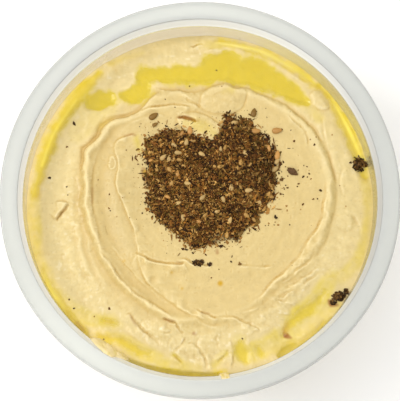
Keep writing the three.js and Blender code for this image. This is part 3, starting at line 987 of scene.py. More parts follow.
# brown stain on the paste, and painted shade in its cracks and creases
BROWN_STAIN_AND_CRACK_SHADE = Patch((
    ((-23.3, 20.9, 0.3, 0.5), (-21.3, 21.5, 0.35, 0.9), (-20, 21.2, 0.3, 0.6)),
    ((-6.9, 26.9, 0.3, 0.9), (-4.6, 26.9, 0.6, 1.2), (-2.6, 26.2, 0.5, 1.0),
     (-0.6, 25.6, 0.4, 0.5)),
    ((-17.4, 10.4, 0.8, 0.7), (-17.2, 8.6, 0.8, 0.9), (-16.6, 6.6, 0.7, 0.8)),
    ((-41.3, -1.3, 0.3, 0.4), (-42.8, -3.4, 0.4, 0.5)),
    ((-33.2, 4.5, 0.35, 0.45), (-33.2, 0, 0.3, 0.5)),
    ((-21.3, -34.8, 0.3, 0.5), (-20.3, -36.6, 0.35, 0.6), (-19.4, -38, 0.3, 0.3)),
    ((-11, -35.7, 0.3, 0.5), (-9.4, -36.4, 0.35, 0.9), (-7.8, -36.6, 0.3, 0.5)),
    ((-1.9, -40.3, 0.5, 0.9), (-1.2, -40.7, 0.3, 0.5)),
    ((0.5, -34.1, 0.3, 0.5), (2.6, -34.3, 0.35, 0.5)),
    ((-7, -18.6, 0.4, 0.35), (-5.6, -18.9, 0.4, 0.4)),
    ((5.3, -15.6, 0.5, 0.8), (5.2, -14.8, 0.5, 0.6)),
    ((-7.4, -47.6, 0.4, 0.35), (-5.9, -49, 0.4, 0.35)),
    ((-37.6, -37.2, 0.7, 0.6), (-35.8, -39.2, 0.7, 0.6)),
    ((25.6, -39.5, 0.3, 0.8), (26.2, -40.9, 0.9, 1.4), (27.6, -41.6, 0.4, 1.0)),
    ((39.4, -30.2, 0.4, 1.2), (40, -31.6, 0.6, 1.2), (42, -31.6, 0.4, 0.9)),
), 0.35)
AMBER = Patch((
    ((6.2, -25, 0.8, 1.0),),
    ((26.6, -37.4, 0.8, 0.3), (26, -39.6, 0.9, 0.6)),
    ((-28.7, -36.7, 0.7, 0.25), (-27.2, -36.9, 0.7, 0.25)),
    ((-8.7, -21.7, 0.3, 0.8),),
    ((-5.5, -26.6, 0.35, 0.8),),
    ((-23.3, -18, 0.35, 0.7),),
    ((-16.9, 9.6, 0.8, 0.8),),
    ((-19, 16.5, 0.4, 0.5),),
), 0.5)
# where the oil stands deepest, between the paste and the wall: darker gold, partly painted shade in
# that gap
BRIM = Patch((
    ((-25, -47.3, 0.5, 0.8), (-20, -49.4, 0.8, 0.9), (-11, -51.9, 1.0, 0.9),
     (-3, -52.9, 1.0, 0.9), (4, -53, 0.8, 0.8), (10, -52.5, 0.3, 0.4)),
    ((-44, -30.2, 0.3, 0.3), (-41, -34, 0.5, 0.5), (-37, -38.4, 0.6, 0.5), (-32.5, -42.4, 0.4, 0.5)),
    ((24.4, -47, 1.1, 0.9), (26.4, -45.2, 1.2, 0.9), (29, -43.9, 0.9, 0.6)),
    ((29, -44.7, 0.5, 0.8), (33.6, -41.4, 0.45, 0.7), (37.1, -38.3, 0.45, 0.7),
     (40, -35.3, 0.4, 0.6)),
), 0.35)
# painted highlights: brighter lines on the oil along the wall, where its film climbs against it
GLINT = Patch((
    ((5, 51, 0.2, 0.5), (13, 49.8, 0.35, 0.7), (20, 48, 0.35, 0.6), (30, 42.5, 0.3, 0.6),
     (36, 38, 0.25, 0.5)),
    ((41, 33, 0.2, 0.5), (45, 26, 0.4, 0.8), (49, 17, 0.3, 0.7), (50.6, 12, 0.2, 0.4)),
    ((-38.5, 33, 0.2, 0.4), (-45.5, 22, 0.25, 0.6), (-49, 12, 0.3, 0.6)),
    ((-47.6, -22, 0.3, 0.3), (-45.2, -27.2, 0.5, 0.5), (-41.6, -32.4, 0.4, 0.4)),
), 0.6)


@dataclass
class PasteSurface:
    """The top of the hummus: its height, colour and wetness on a fine square raster."""

    level: float = 48.6
    far_fall: float = 0.03
    plateau: float = 1.2
    bead_inset: float = 1.5
    bead_width: float = 1.1
    ring_edges: tuple[float, float] = (36, 42)  # radii over which the plateau's colour ends
    wobble: float = 0.38  # how far the marks' edges stray sideways
    reach: float = 54.0
    step: float = 0.2
    paste: str = "ceb577"
    ring: str = "dcc68a"
    # painted highlight on crests; the wall smears take it as their paste
    crest: str = "ecd8a2"
    # painted highlights on the lumps
    painted_glints: str = "fff4d4"
    shade: str = "c09a4c"
    oiled: str = "ceb624"
    # brown stain, and painted shade in cracks and creases
    brown_stain_and_crack_shade: str = "8e5200"
    amber: str = "c09408"
    glint: str = "f2e484"
    # darker gold of the deepest oil, partly painted shade
    brim: str = "b09820"
    marks: tuple[Ridge | Fold | Mound, ...] = CHANNELS + FOLDS + RIDGES + MOUNDS + CRACKS

    def __post_init__(self) -> None:
        """Works out the raster once; pieces read it wherever they need it."""
        self.pools = all_pools(self.level, self.far_fall)
        side = np.arange(-self.reach, self.reach + self.step, self.step)
        x, y = np.meshgrid(side, side, indexing="ij")
        self.z = self.relief(x, y)
        self.colour = self.tones(x, y, self.z)

    def read(self, layer: Array, x: Array, y: Array) -> Array:
        """Reads a layer of the raster, linearly between its four nearest points.

        Args:
            layer: One height, or one row of numbers, for each point of the raster.
            x, y: Where to read it, in millimetres.

        Returns:
            The layer's value at each place.
        """
        top = layer.shape[0] - 2
        u, v = (np.clip((c + self.reach) / self.step, 0, top + 0.999) for c in (x, y))
        i, j = np.floor(u).astype(int), np.floor(v).astype(int)
        fu, fv = u - i, v - j
        if layer.ndim == 3:
            fu, fv = fu[..., None], fv[..., None]
        near = mix(layer[i, j], layer[i, j + 1], fv)
        return mix(near, mix(layer[i + 1, j], layer[i + 1, j + 1], fv), fu)

    def height(self, x: Array, y: Array) -> Array:
        """Height of the paste at any place."""
        return self.read(self.z, x, y)

    def relief(self, x: Array, y: Array) -> Array:
        """Works out the surface.

        It is the ring's level, plus the plateau's rounded step at its foot, a bead inside the
        foot and a crevice outside it, plus every mark, soft lumps, fine streaks along the
        spoon's turn, torn lumps in the rough places and ground grain, drawn down to the pools'
        floors. The marks are read a little sideways of each place, which makes them ragged.

        Args:
            x, y: The points, in millimetres.

        Returns:
            The height at each point, in millimetres.
        """
        rough = ROUGH.cover(x, y)
        stray = self.wobble * (1 + 0.6 * rough)
        wx = x + stray * clouds(x, y, 3.4, 21, 4)
        wy = y + stray * clouds(x, y, 3.4, 25, 4)
        radius, angle = np.hypot(wx, wy), np.arctan2(wy, wx)
        inside = around(FOOT, angle) - radius
        turn = angle / (2 * np.pi)
        uneven = 1 + 0.45 * lattice(radius / 6, turn * 60, 17, 60)
        crevice = around(CREVICE, angle) * uneven
        bead = around(BEAD, angle) * (2 - uneven)
        soft = 2.6 * (1 - np.clip(crevice / 0.4, 0, 1))
        z = self.level - self.far_fall * y
        step = mix(self.plateau, around(STEP, angle), smoothstep(inside, 14, 4))
        z += step * smoothstep(inside, -0.35 - soft, 0.6 + soft)
        z += bead * bell(inside - self.bead_inset, self.bead_width)
        z -= crevice * bell(inside + 0.5, 0.4 + 0.45 * crevice)
        for mark in self.marks:
            z += mark.height_at(wx, wy)
        z += 0.22 * clouds(x, y, 8.0, 11, 2)
        streak = lattice(radius / 1.6 + 3 * turn, turn * 18, 31, 18)
        streak += 0.5 * lattice(radius / 0.7, turn * 30, 32, 30)
        z += 0.05 * streak * (1 - 0.7 * rough)
        z += 0.075 * clouds(x, y, 2.6, 44, 4)
        pits = lattice(x / 0.8, y / 0.8, 46)
        z -= 0.1 * smoothstep(pits, 0.66, 0.88)
        bent = (wx + 0.9 * clouds(x, y, 4.0, 42, 2), wy + 0.9 * clouds(x, y, 4.0, 43, 2))
        torn = 0.9 * cobbles(0.75 * bent[0] + 0.3 * bent[1], bent[1], 4.6, 45)
        torn += 0.28 * cobbles(*bent, 2.0, 46) + 0.14 * cobbles(x, y, 0.9, 48)
        z += rough * (0.22 * clouds(x, y, 2.8, 41, 3) + torn)
        for pool in sorted(self.pools, key=lambda each: -each.level):
            z = pool.carve(x, y, z)
        return z

    def tones(self, x: Array, y: Array, z: Array) -> Array:
        """Works out the paste's colour and wetness.

        How far the surface lies below or above its neighbourhood's mean gives hollows painted
        shade and crests a painted highlight; oil, which gathers in hollows, brown stain with
        painted shade in its cracks, and amber then cover it where their patches say.

        Args:
            x, y, z: The raster.

        Returns:
            Red, green, blue and wetness of each point.
        """
        fine = (blurred(z, 2) - z) / 0.09
        middle = (blurred(blurred(z, 5), 5) - z) / 0.4
        # Painted shade darkens the hollows and a painted highlight lightens the crests.
        hollow = np.clip(0.3 * np.maximum(fine, 0) + 0.6 * np.maximum(middle, 0), 0, 1)
        crest = np.clip(0.6 * np.maximum(-fine, 0) + 0.4 * np.maximum(-middle, 0), 0, 1)
        bran = smoothstep(lattice(x / 0.45, y / 0.45, 47), 0.78, 0.92)
        outer = smoothstep(np.hypot(x, y), *self.ring_edges)[..., None]
        tone = mix(rgb(self.paste), rgb(self.ring), outer)
        tone = mix(tone, rgb(self.shade), 0.5 * hollow[..., None])
        tone = mix(tone, rgb(self.crest), 0.7 * crest[..., None])
        # Painted highlights: small pale points on the lumps stand for their wet glints.
        painted_glints = smoothstep(lattice(x / 0.9, y / 0.9, 53), 0.45, 0.8) * (z > blurred(z, 8))
        painted_glints *= outer[..., 0] * (0.1 + 0.22 * ROUGH.cover(x, y))
        tone = mix(tone, rgb(self.painted_glints), painted_glints[..., None])
        # Painted shade: the ring is darker to the right and the near side, most near right, and the
        # plateau is darker on its left.
        painted_side_shade = 0.975 - outer[..., 0] * (
            0.04 + 0.00045 * x - 0.0007 * y + 0.08 * bell(x - 26, 9) * bell(y + 27, 9))
        painted_side_shade -= 0.07 * bell(x + 23, 8) * bell(y, 18) * (1 - outer[..., 0])
        tone *= (painted_side_shade - 0.12 * bran + 0.035 * clouds(x, y, 1.1, 48, 2))[..., None]
        oil = GLAZE.cover(x, y) * (0.8 + 0.5 * clouds(x, y, 2.2, 71, 3) + 0.5 * hollow)
        fray = 1.9 * clouds(x, y, 2.8, 72, 4)
        for pool in self.pools:
            shore = smoothstep(pool.inside(x, y) + fray, -1 - pool.fade, pool.fade)
            oil = np.maximum(oil, pool.stain * shore
                             * smoothstep(z, pool.level + 0.5, pool.level - 0.05))
        for share, colour in ((oil, self.oiled), (0.7 * BROWN_STAIN_AND_CRACK_SHADE.cover(x, y), self.brown_stain_and_crack_shade),
                              (AMBER.cover(x, y), self.amber), (GLINT.cover(x, y), self.glint),
                              (BRIM.cover(x, y), self.brim)):
            tone = mix(tone, rgb(colour), np.clip(share, 0, 1)[..., None])
        tone *= 1 + self.wall_lift(x, y, np.clip(oil, 0, 1))[..., None]
        wet = np.clip(np.maximum(oil, 0.2 + 0.55 * ROUGH.cover(x, y)), 0, 1)
        return np.concatenate([tone, wet[..., None]], -1)

    def wall_lift(self, x: Array, y: Array, oil: Array) -> Array:
        """Share by which the paste is painted lighter beside the wall.

        It is most on the near left, and on the far side where oil lies, and fades out at the
        near side.

        Args:
            x, y: The raster.
            oil: How far oil covers each of its points.

        Returns:
            The share at each point.
        """
        radius = np.hypot(x, y) + 1e-6
        near_left = smoothstep(-(x + 0.6 * y) / radius, -0.9, 0.3)
        far_oil = smoothstep(y, 6, 20) * oil
        beside = smoothstep(radius, 47.5, 52.5) * smoothstep(y, -56, -40)
        return beside * (0.02 + 0.36 * near_left + 0.17 * far_oil)


def all_pools(level: float, fall: float) -> tuple[Pool, ...]:
    """Lists the pools of oil.

    Args:
        level: Level of the ring on the axis.
        fall: How far the ring falls for each millimetre towards the far side.

    Returns:
        One pool for each oil node.
    """

    def at(y: float) -> float:
        """Level of the oil at that distance from the axis."""
        return level - fall * y - 0.1

    return (
        Pool("oil_pool_far", at(40), 0.4, (
            ((-17.5, 40.2, 2.4), (-13, 40.8, 2.5), (-8, 41, 2.6), (-3, 41, 2.9), (1.5, 41.3, 3.6),
             (5, 42.8, 4.6), (9, 43.4, 4.8), (12, 41.6, 4.0), (16, 41.8, 4.5), (20, 40, 4.3),
             (24, 37.8, 3.8), (28, 35.6, 2.9), (31, 33.6, 2.0), (33, 32.4, 1.1)),
            ((-17.5, 39.5, 2.2), (-17.5, 37, 2.1), (-19, 35, 2.7), (-21.5, 34.2, 2.5),
             (-23.5, 34.8, 1.4)),
            ((-33.5, 32.6, 2.5), (-31, 32.7, 3.0), (-28.8, 32.8, 2.5)),
        )),
        Pool("oil_wall_right", at(34), 0.3, (
            ((5, 51.6, 0.8), (12, 50.4, 1.1), (19.5, 48, 1.2), (26, 44.8, 1.2), (32, 40.9, 1.2),
             (38, 36.3, 1.0), (42, 31.6, 1.2), (45.2, 25.5, 1.9), (47.8, 19.6, 2.2),
             (49.4, 15, 1.8), (51, 9, 1.2)),
        ), 0.75),
        Pool("oil_wall_left", at(22), 0.35, (
            ((-31.8, 41, 1), (-34.5, 38.5, 1.9), (-37, 35, 2.4), (-40, 31, 2.2), (-42.8, 27, 1.9),
             (-45.2, 22.5, 1.9), (-47.2, 17.5, 1.9), (-48.8, 12.5, 1.9), (-50.2, 7.5, 1.2),
             (-51.2, 3, 0.9)),
        ), 0.85, 1.1),
        Pool("oil_wall_lower_left", at(-30), 0.35, (
            ((-48.4, -20.5, 0.6), (-46.9, -24.5, 1.1), (-44.9, -28, 1.3), (-42.2, -32, 1.2),
             (-39.7, -35.3, 1.3), (-37, -38.4, 1.2), (-35, -40.4, 0.9)),
        ), 0.7),
        Pool("oil_wall_near", at(-51), 0.5, (
            ((-26, -46.9, 1), (-22, -49, 1.1), (-17, -50.9, 1.1), (-11, -52.3, 1.1),
             (-4, -53.1, 1.1), (2, -53.2, 1.0), (6, -53, 0.7)),
        )),
        Pool("oil_pool_near_right", at(-34), 0.35, (
            ((38, -27.8, 1.2), (36, -30.4, 1.7), (33.4, -32.8, 2.0), (30.6, -35, 2.0),
             (28, -37, 1.7), (26.2, -38.8, 1.3), (25.2, -41, 0.7)),
            ((24.6, -45.9, 1.2), (26.6, -44.6, 1.4), (29.5, -43.4, 1.1), (33.6, -40.9, 0.7),
             (38, -36.8, 0.6)),
        ), 0.8, 2.0),
        Pool("oil_pool_near", at(-46), 0.35, (
            ((12.3, -44.3, 1.9), (13.1, -47, 2.0), (14, -48.9, 1.2)),
            ((17.6, -44.4, 0.8), (18.6, -46.6, 1.2)),
        ), 0.8, 1.2),
        Pool("oil_pool_near_left", at(-43), 0.35, (
            ((-31, -41.3, 0.8), (-28, -42.3, 1.5), (-25, -42.3, 1.3), (-22, -44, 1.4),
             (-19, -45.8, 1.4), (-16, -46.6, 1.0)),
            ((-29.5, -36.4, 0.7), (-27.2, -36.8, 0.8), (-24.8, -37.5, 0.5)),
        ), 0.75, 1.4),
    )


def wall_radius(z: Array | float) -> Array | float:
    """Inner radius of the tub's wall at a height above its ledge."""
    return TUB_WALL_TOP[0] - (TUB_WALL_TOP[1] - z) * TUB_DRAFT


# --- the tub


@dataclass
class Tub:
    """Thin clear tub: a sheet carried round the axis, with skirt, sloping flange and shoulder."""

    wall: float = 0.6
    segments: int = 256
    haze: float = 0.05
    flange_haze: float = 0.5
    shoulder_haze: float = 0.9
    flange_hue: Triple = (1, 1, 0.965)
    shoulder_hue: Triple = (0.965, 0.985, 1.02)
    # painted shade: how far the flange's film is darkened
    flange_shade: float = 0.765
    flange_from: float = 116.3  # radius plus height of the line between flange and shoulder
    shoulder_foot: float = 57.4
    groove: tuple[float, float] = (55.2, 60.7)  # its radius and lowest height
    # painted reflection of the paste on the wall's inner face, with a painted line at its upper edge;
    # oily is its yellow where oil lies beside the wall
    paste_reflection: str = "f4e8d6"
    reflection_edge: str = "ece0b4"
    oily: str = "f4e5b0"
    # radius, height and corner rounding, from the skirt's foot over the rim to the axis
    corners: Points = (
        (60.8, 58.6, 0), (60.6, 61.5, 0.35), (60.2, 62.0, 0.3), (55.35, 61.35, 0.2),
        (55.05, 60.7, 0.2), (54.15, 57.8, 0.1), (53.85, 57.2, 0.2), (53.76, 56.3, 0.1),
        (53.735, 55.8, 0.1),
        (53.454, 50.4, 0.2), (53.381, 49.0, 0.2), (53.014, 42.0, 0.3),
        (52.254, 41.4, 0.3), (47.674, 4.1, 0.6), (46.7, 1.7, 1.4), (44.3, 0.7, 0.8),
        (38.6, 0.7, 0.4), (37.6, 1.5, 0.4), (0.0, 1.5, 0),
    )

    def inner_profile(self) -> Array:
        """Rounds each corner by a quadratic curve that leaves and joins the straight stretches.

        Returns:
            Radius and height of each point of the inner face.
        """
        p = np.asarray(self.corners, float)
        rows = [p[0, :2]]
        for a, b, c in zip(p[:-2], p[1:-1], p[2:]):
            back, ahead = a[:2] - b[:2], c[:2] - b[:2]
            start = b[:2] + back / np.hypot(*back) * b[2]
            end = b[:2] + ahead / np.hypot(*ahead) * b[2]
            for t in np.linspace(0, 1, 5):
                rows.append((1 - t) ** 2 * start + 2 * t * (1 - t) * b[:2] + t * t * end)
        rows.append(p[-1, :2])
        return np.asarray(rows)

    def build(self) -> Piece:
        """Carries the sheet's two faces round the axis and closes them at foot and axis.

        Returns:
            The piece.
        """
        inner = self.inner_profile()
        way = np.gradient(inner, axis=0)
        way /= np.hypot(way[:, 0], way[:, 1])[:, None]
        outer = inner + self.wall * np.stack([-way[:, 1], way[:, 0]], -1)
        outer[0] = (inner[0, 0] - self.wall, inner[0, 1])
        outer[-1] = (0, inner[-1, 1] - self.wall)
        outer[:, 1] = np.maximum(outer[:, 1], 0)
        inner[-1, 0] = outer[-1, 0] = 0.01
        profile = np.vstack([inner, outer[::-1]])
        points, faces = revolved(profile, self.segments)
        angle = np.arange(self.segments) * 2 * np.pi / self.segments
        film = np.ones((len(profile), self.segments, 4))
        film[: len(inner), :, :3] = self.film(inner, angle)
        self.tone(film, *profile.T[:, :, None], angle)
        return new_piece("clear_tub", points, [faces[:, ::-1]], ("tub",),
                         {"film": film.reshape(-1, 4)})

    def tone(self, film: Array, radius: Array, height: Array, angle: Array) -> None:
        """Paints how the haze and, as painted light and shade, the rim's brightness change round it.

        Args:
            film: Red, green, blue and haze of each point, changed in place.
            radius, height: Those of the profile's points.
            angle: Direction of each step round the axis.
        """
        flange = radius + height > self.flange_from
        shoulder = (height > self.shoulder_foot) & ~flange
        right = np.maximum(np.cos(angle), 0)
        far, near_left = bell(angle - 1.5, 0.4), bell(angle - 4.05, 0.45)
        # Painted shade and light: the flange is darker to the right and lighter at the far side and
        # the near left, and the shoulder is darker to the right.
        flange_shade = self.flange_shade - 0.045 * right + 0.02 * far + 0.07 * near_left
        shoulder_haze = self.shoulder_haze - 0.45 * bell(angle - 4.5, 0.6)
        shoulder_shade = 1 - 0.42 * np.maximum(np.cos(angle + 0.14), 0) ** 3
        film[..., 3] = self.haze
        for part, haze, hue, tone in (
            (flange, self.flange_haze, self.flange_hue, flange_shade),
            (shoulder, shoulder_haze, self.shoulder_hue, shoulder_shade),
        ):
            film[..., :3] *= np.where(part[..., None], tone[:, None] * np.array(hue), 1.0)
            film[..., 3] = np.where(part, haze, film[..., 3])
        # Painted light and shade: the flange is lighter towards its inner edge, and the groove beside
        # it is darker, most on the far side.
        groove = (np.abs(radius - self.groove[0]) < 0.12) & (height > self.groove[1])
        rim = 0.14 * bell(radius - self.groove[0] - 0.9, 0.8) * flange
        rim = rim - 0.24 * groove * (0.35 + 0.65 * np.maximum(np.sin(angle), 0))
        film[..., :3] *= 1 + rim[..., None]

    def film(self, inner: Array, angle: Array) -> Array:
        """Colour that passes the wall's inner face: a painted reflection of the paste, strongest at
        its upper edge.

        It takes the oil's yellow to the right and to the lower left.

        Args:
            inner: Radius and height of each point of the inner face.
            angle: Direction of each step round the axis.

        Returns:
            Red, green and blue of each point.
        """
        radius, height = inner.T[:, :, None, None]
        oily = np.maximum(smoothstep(np.cos(angle - 0.4), 0.55, 0.9),
                          smoothstep(np.cos(angle - 3.7), 0.8, 0.97))[:, None]
        paste_reflection, oil, edge = (rgb(c) for c in (self.paste_reflection, self.oily, self.reflection_edge))
        share = np.interp(height, (44, 46, 56.6, 57.4), (0, 1, 1, 0)) * (radius > 50)
        colour = mix(1.0, mix(paste_reflection, oil, oily), share)
        return mix(colour, edge, bell(height - 57.1, 0.3) * (radius > 50))

    def dress(self, piece: Piece) -> None:
        """Gives the tub its plastic."""
        coat([piece], ClearPolypropylene().material())


# --- the hummus


def disc_grid(count: int) -> tuple[Array, Array]:
    """Spreads a square grid over the unit disc so that its rows become rings.

    Each square ring of the grid becomes a circle: the larger of |a| and |b| is the radius, and
    the place along the square's side is the angle.

    Args:
        count: How many cells lie along each side.

    Returns:
        The radius and the angle of each of the (count + 1) squared points.
    """
    side = np.linspace(-1, 1, count + 1)
    a, b = np.meshgrid(side, side, indexing="ij")
    wide = np.abs(a) > np.abs(b)
    safe_a, safe_b = np.where(a == 0, 1, a), np.where(b == 0, 1, b)
    radius = np.where(wide, a, b)
    angle = np.where(wide, np.pi / 4 * b / safe_a, np.pi / 2 - np.pi / 4 * a / safe_b)
    angle = np.where(radius < 0, angle + np.pi, angle)
    return np.abs(radius), angle


def border(count: int) -> Array:
    """Numbers the points round a square grid's edge, anticlockwise seen from above.

    Args:
        count: How many cells lie along each side.

    Returns:
        The numbers in order.
    """
    n = count + 1
    grid = np.arange(n * n).reshape(n, n)
    return np.concatenate([grid[:-1, 0], grid[-1, :-1], grid[:0:-1, -1], grid[0, :0:-1]])


def blurred(grid: Array, reach: int) -> Array:
    """Mean of each point's neighbours up to a number of steps away, along both sides.

    Args:
        grid: The values.
        reach: The number of steps.

    Returns:
        The means.
    """
    for axis in (0, 1):
        pad = [(0, 0), (0, 0)]
        pad[axis] = (reach + 1, reach)
        total = np.cumsum(np.pad(grid, pad, mode="edge"), axis=axis)
        size = grid.shape[axis]
        high = np.take(total, np.arange(size) + 2 * reach + 1, axis=axis)
        low = np.take(total, np.arange(size), axis=axis)
        grid = (high - low) / (2 * reach + 1)
    return grid


@dataclass
class Hummus:
    """The paste: a worked top in two slabs, middle and ring, on a plain body below them."""

    surface: PasteSurface
    cells: int = 290  # across the middle
    middle: float = 30.0  # radius of the middle
    rings: int = 74  # from the middle out to the wall
    slab_foot: float = 40.5
    wall_rows: tuple[float, ...] = (46.0, 44.0)  # heights of points on the ring's side
    bite: float = 0.1  # how far the paste reaches into the wall, so that no air shows
    body_heights: tuple[float, ...] = (40.5, 36.0, 28.0, 20.0, 12.0, 6.0, 2.8, 1.2)
    body_segments: int = 256

    def top_middle(self) -> Piece:
        """Builds the middle on a disc grid, with a straight side and a flat foot.

        Returns:
            The piece.
        """
        radius, angle = disc_grid(self.cells)
        x = self.middle * radius * np.cos(angle)
        y = self.middle * radius * np.sin(angle)
        n = self.cells + 1
        top = cell_corners(n, n).reshape(-1, 4)
        rim = border(self.cells)
        count = len(rim)
        foot = np.stack([x.ravel()[rim], y.ravel()[rim], np.full(count, self.slab_foot)], -1)
        z = self.surface.height(x, y)
        points = np.vstack(
            [np.stack([x, y, z], -1).reshape(-1, 3), foot, [[0, 0, self.slab_foot]]]
        )
        low = n * n + np.arange(count)
        side = np.stack([rim, low, np.roll(low, -1), np.roll(rim, -1)], -1)
        base = np.stack([np.full(count, len(points) - 1), np.roll(low, -1), low], -1)
        shades = self.surface.read(self.surface.colour, points[:, 0], points[:, 1])
        return new_piece("hummus_middle", points, [top, side, base], ("hummus",),
                         {"paste": shades}, sharp=65)

    def top_ring(self) -> Piece:
        """Builds the ring on a polar grid whose inner edge has the middle's border points.

        Returns:
            The piece.
        """
        _, disc_angle = disc_grid(self.cells)
        angle = disc_angle.ravel()[border(self.cells)]
        share = np.linspace(0, 1, self.rings + 1)[:, None]
        edge = wall_radius(self.surface.level) + self.bite
        r = mix(self.middle, edge, share) * np.ones(len(angle))
        z = self.surface.height(r * np.cos(angle), r * np.sin(angle))
        r[-1] = wall_radius(z[-1]) + self.bite
        sides = [(wall_radius(height) + self.bite, height) for height in self.wall_rows]
        sides += [(sides[-1][0] - 0.5, self.slab_foot), (self.middle, self.slab_foot)]
        r = np.vstack([r, *(np.full(len(angle), a) for a, _ in sides)])
        z = np.vstack([z, *(np.full(len(angle), b) for _, b in sides)])
        points = np.stack([r * np.cos(angle), r * np.sin(angle), z], -1).reshape(-1, 3)
        faces = loop_faces(*r.shape)[:, [0, 3, 2, 1]]
        shades = self.surface.read(self.surface.colour, points[:, 0], points[:, 1])
        return new_piece("hummus_ring", points, [faces], ("hummus",),
                         {"paste": shades}, sharp=65)

    def body(self) -> Piece:
        """Turns the body that fills the tub under the slabs.

        Returns:
            The piece.
        """
        wall = Tub().inner_profile()
        wall = wall[(wall[:, 1] <= 57) & (wall[:, 0] > 30)][::-1]
        radii = np.interp(self.body_heights, wall[:, 1], wall[:, 0]) + self.bite
        profile = np.vstack([[0.01, self.slab_foot], np.stack([radii, self.body_heights], -1),
                             [0.01, self.body_heights[-1]]])
        points, faces = revolved(profile, self.body_segments)
        shades = np.array([*rgb(self.surface.ring), 0.5]) * np.ones((len(points), 4))
        return new_piece("hummus_body", points, [faces[:, ::-1]], ("hummus",),
                         {"paste": shades})

    def build(self) -> list[Piece]:
        """Builds the two slabs and the body."""
        return [self.top_middle(), self.top_ring(), self.body()]

    def dress(self, pieces: list[Piece]) -> None:
        """Gives the hummus its paste."""
        coat(pieces, ChickpeaPaste().material())


@dataclass
class WallSmears:
    """Paste that the spoon pushed up the wall: two tongues side by side and a narrow drip."""

    surface: PasteSurface
    cells: int = 36
    waist: float = 56.5  # height from which they narrow
    # direction at foot and tip in degrees, half width at foot and tip, height of foot and tip,
    # thickness, share of oil
    tongues: Points = (
        (237.4, 239.4, 4.6, 1.5, 47.6, 61.0, 1.7, 0.35),
        (242.2, 241.6, 3.0, 0.9, 47.6, 58.6, 1.4, 0.3),
        (-82.2, -82.0, 1.35, 1.25, 47.6, 61.3, 0.6, 0.7),
    )

    def build(self) -> list[Piece]:
        """Builds each tongue: thickness times sqrt(1 - u^2) on the wall, thinning to its tip.

        Returns:
            The pieces.
        """
        wall = Tub().inner_profile()
        wall = wall[(wall[:, 0] > 52.5) & (wall[:, 0] < 56)][::-1]
        side = np.linspace(0, 1, self.cells + 1)
        u, v = np.meshgrid(2 * side - 1, side, indexing="ij")
        n = self.cells + 1
        upper = cell_corners(n, n).reshape(-1, 4)[:, ::-1]
        rim = border(self.cells)
        beside = np.roll(rim, -1)
        sides = np.stack([rim, beside, beside + n * n, rim + n * n], -1)
        pieces = []
        for i, (a, b, wide, narrow, low, high, thick, oily) in enumerate(self.tongues):
            height = mix(low, high, v)
            radius = np.interp(height, wall[:, 1], wall[:, 0])
            ragged = 0.3 * lattice(5 * v, 3.0 * u, 81 + i)
            up = np.clip((height - self.waist) / (high - self.waist), 0, 1)
            half = mix(wide, narrow, up) * (1 + ragged)
            angle = np.radians(mix(a, b, up)) + u * half / radius
            lumps = 1 + 0.35 * clouds(3 * u, 8 * v, 1.0, 83 + i, 2)
            depth = thick * np.sqrt(1 - u**2 + 0.01) * np.sqrt(1.02 - v**3) * lumps
            rows = [
                np.stack([r * np.cos(angle), r * np.sin(angle), height], -1).reshape(-1, 3)
                for r in (radius - depth, radius + 0.12)
            ]
            glaze = oily * smoothstep(clouds(2 * u, 6 * v, 1.0, 85, 2), -0.3, 0.6).reshape(-1, 1)
            tone = mix(*(np.array([*rgb(c), 0.6]) for c in
                         (self.surface.crest, self.surface.oiled)), np.vstack([glaze, glaze]))
            pieces.append(new_piece(f"wall_smear_{i + 1}", np.vstack(rows),
                                    [upper, upper[:, ::-1] + n * n, sides], (),
                                    {"paste": tone}))
        return pieces

    def dress(self, pieces: list[Piece]) -> None:
        """Gives the smears the same paste."""
        coat(pieces, ChickpeaPaste("smeared_paste").material())


def slab(x: Array, y: Array, keep: Array, top: Array, bottom: Array) -> tuple[Array, list, Array]:
    """Closes the kept cells of a grid into a body with a top, a bottom and steps at its edge.

    Args:
        x, y: The grid's points.
        keep: Which cells belong, one fewer than the points along each side.
        top, bottom: Heights of the two faces over the grid.

    Returns:
        The points, the faces, and for each point its number in the flat grid.
    """
    used, flat = np.unique(cell_corners(*x.shape)[keep], return_inverse=True)
    upper = flat.reshape(-1, 4)
    edges = np.stack([upper, np.roll(upper, -1, 1)], -1).reshape(-1, 2)
    count = len(used)
    code, back = edges[:, 0] * count + edges[:, 1], edges[:, 1] * count + edges[:, 0]
    rim = edges[~np.isin(code, back)]
    walls = np.stack([rim[:, 1], rim[:, 0], rim[:, 0] + count, rim[:, 1] + count], -1)
    lower = upper[:, ::-1] + count
    px, py = x.ravel()[used], y.ravel()[used]
    points = np.vstack([
        np.stack([px, py, top.ravel()[used]], -1), np.stack([px, py, bottom.ravel()[used]], -1)
    ])
    return points, [upper, lower, walls], np.concatenate([used, used])


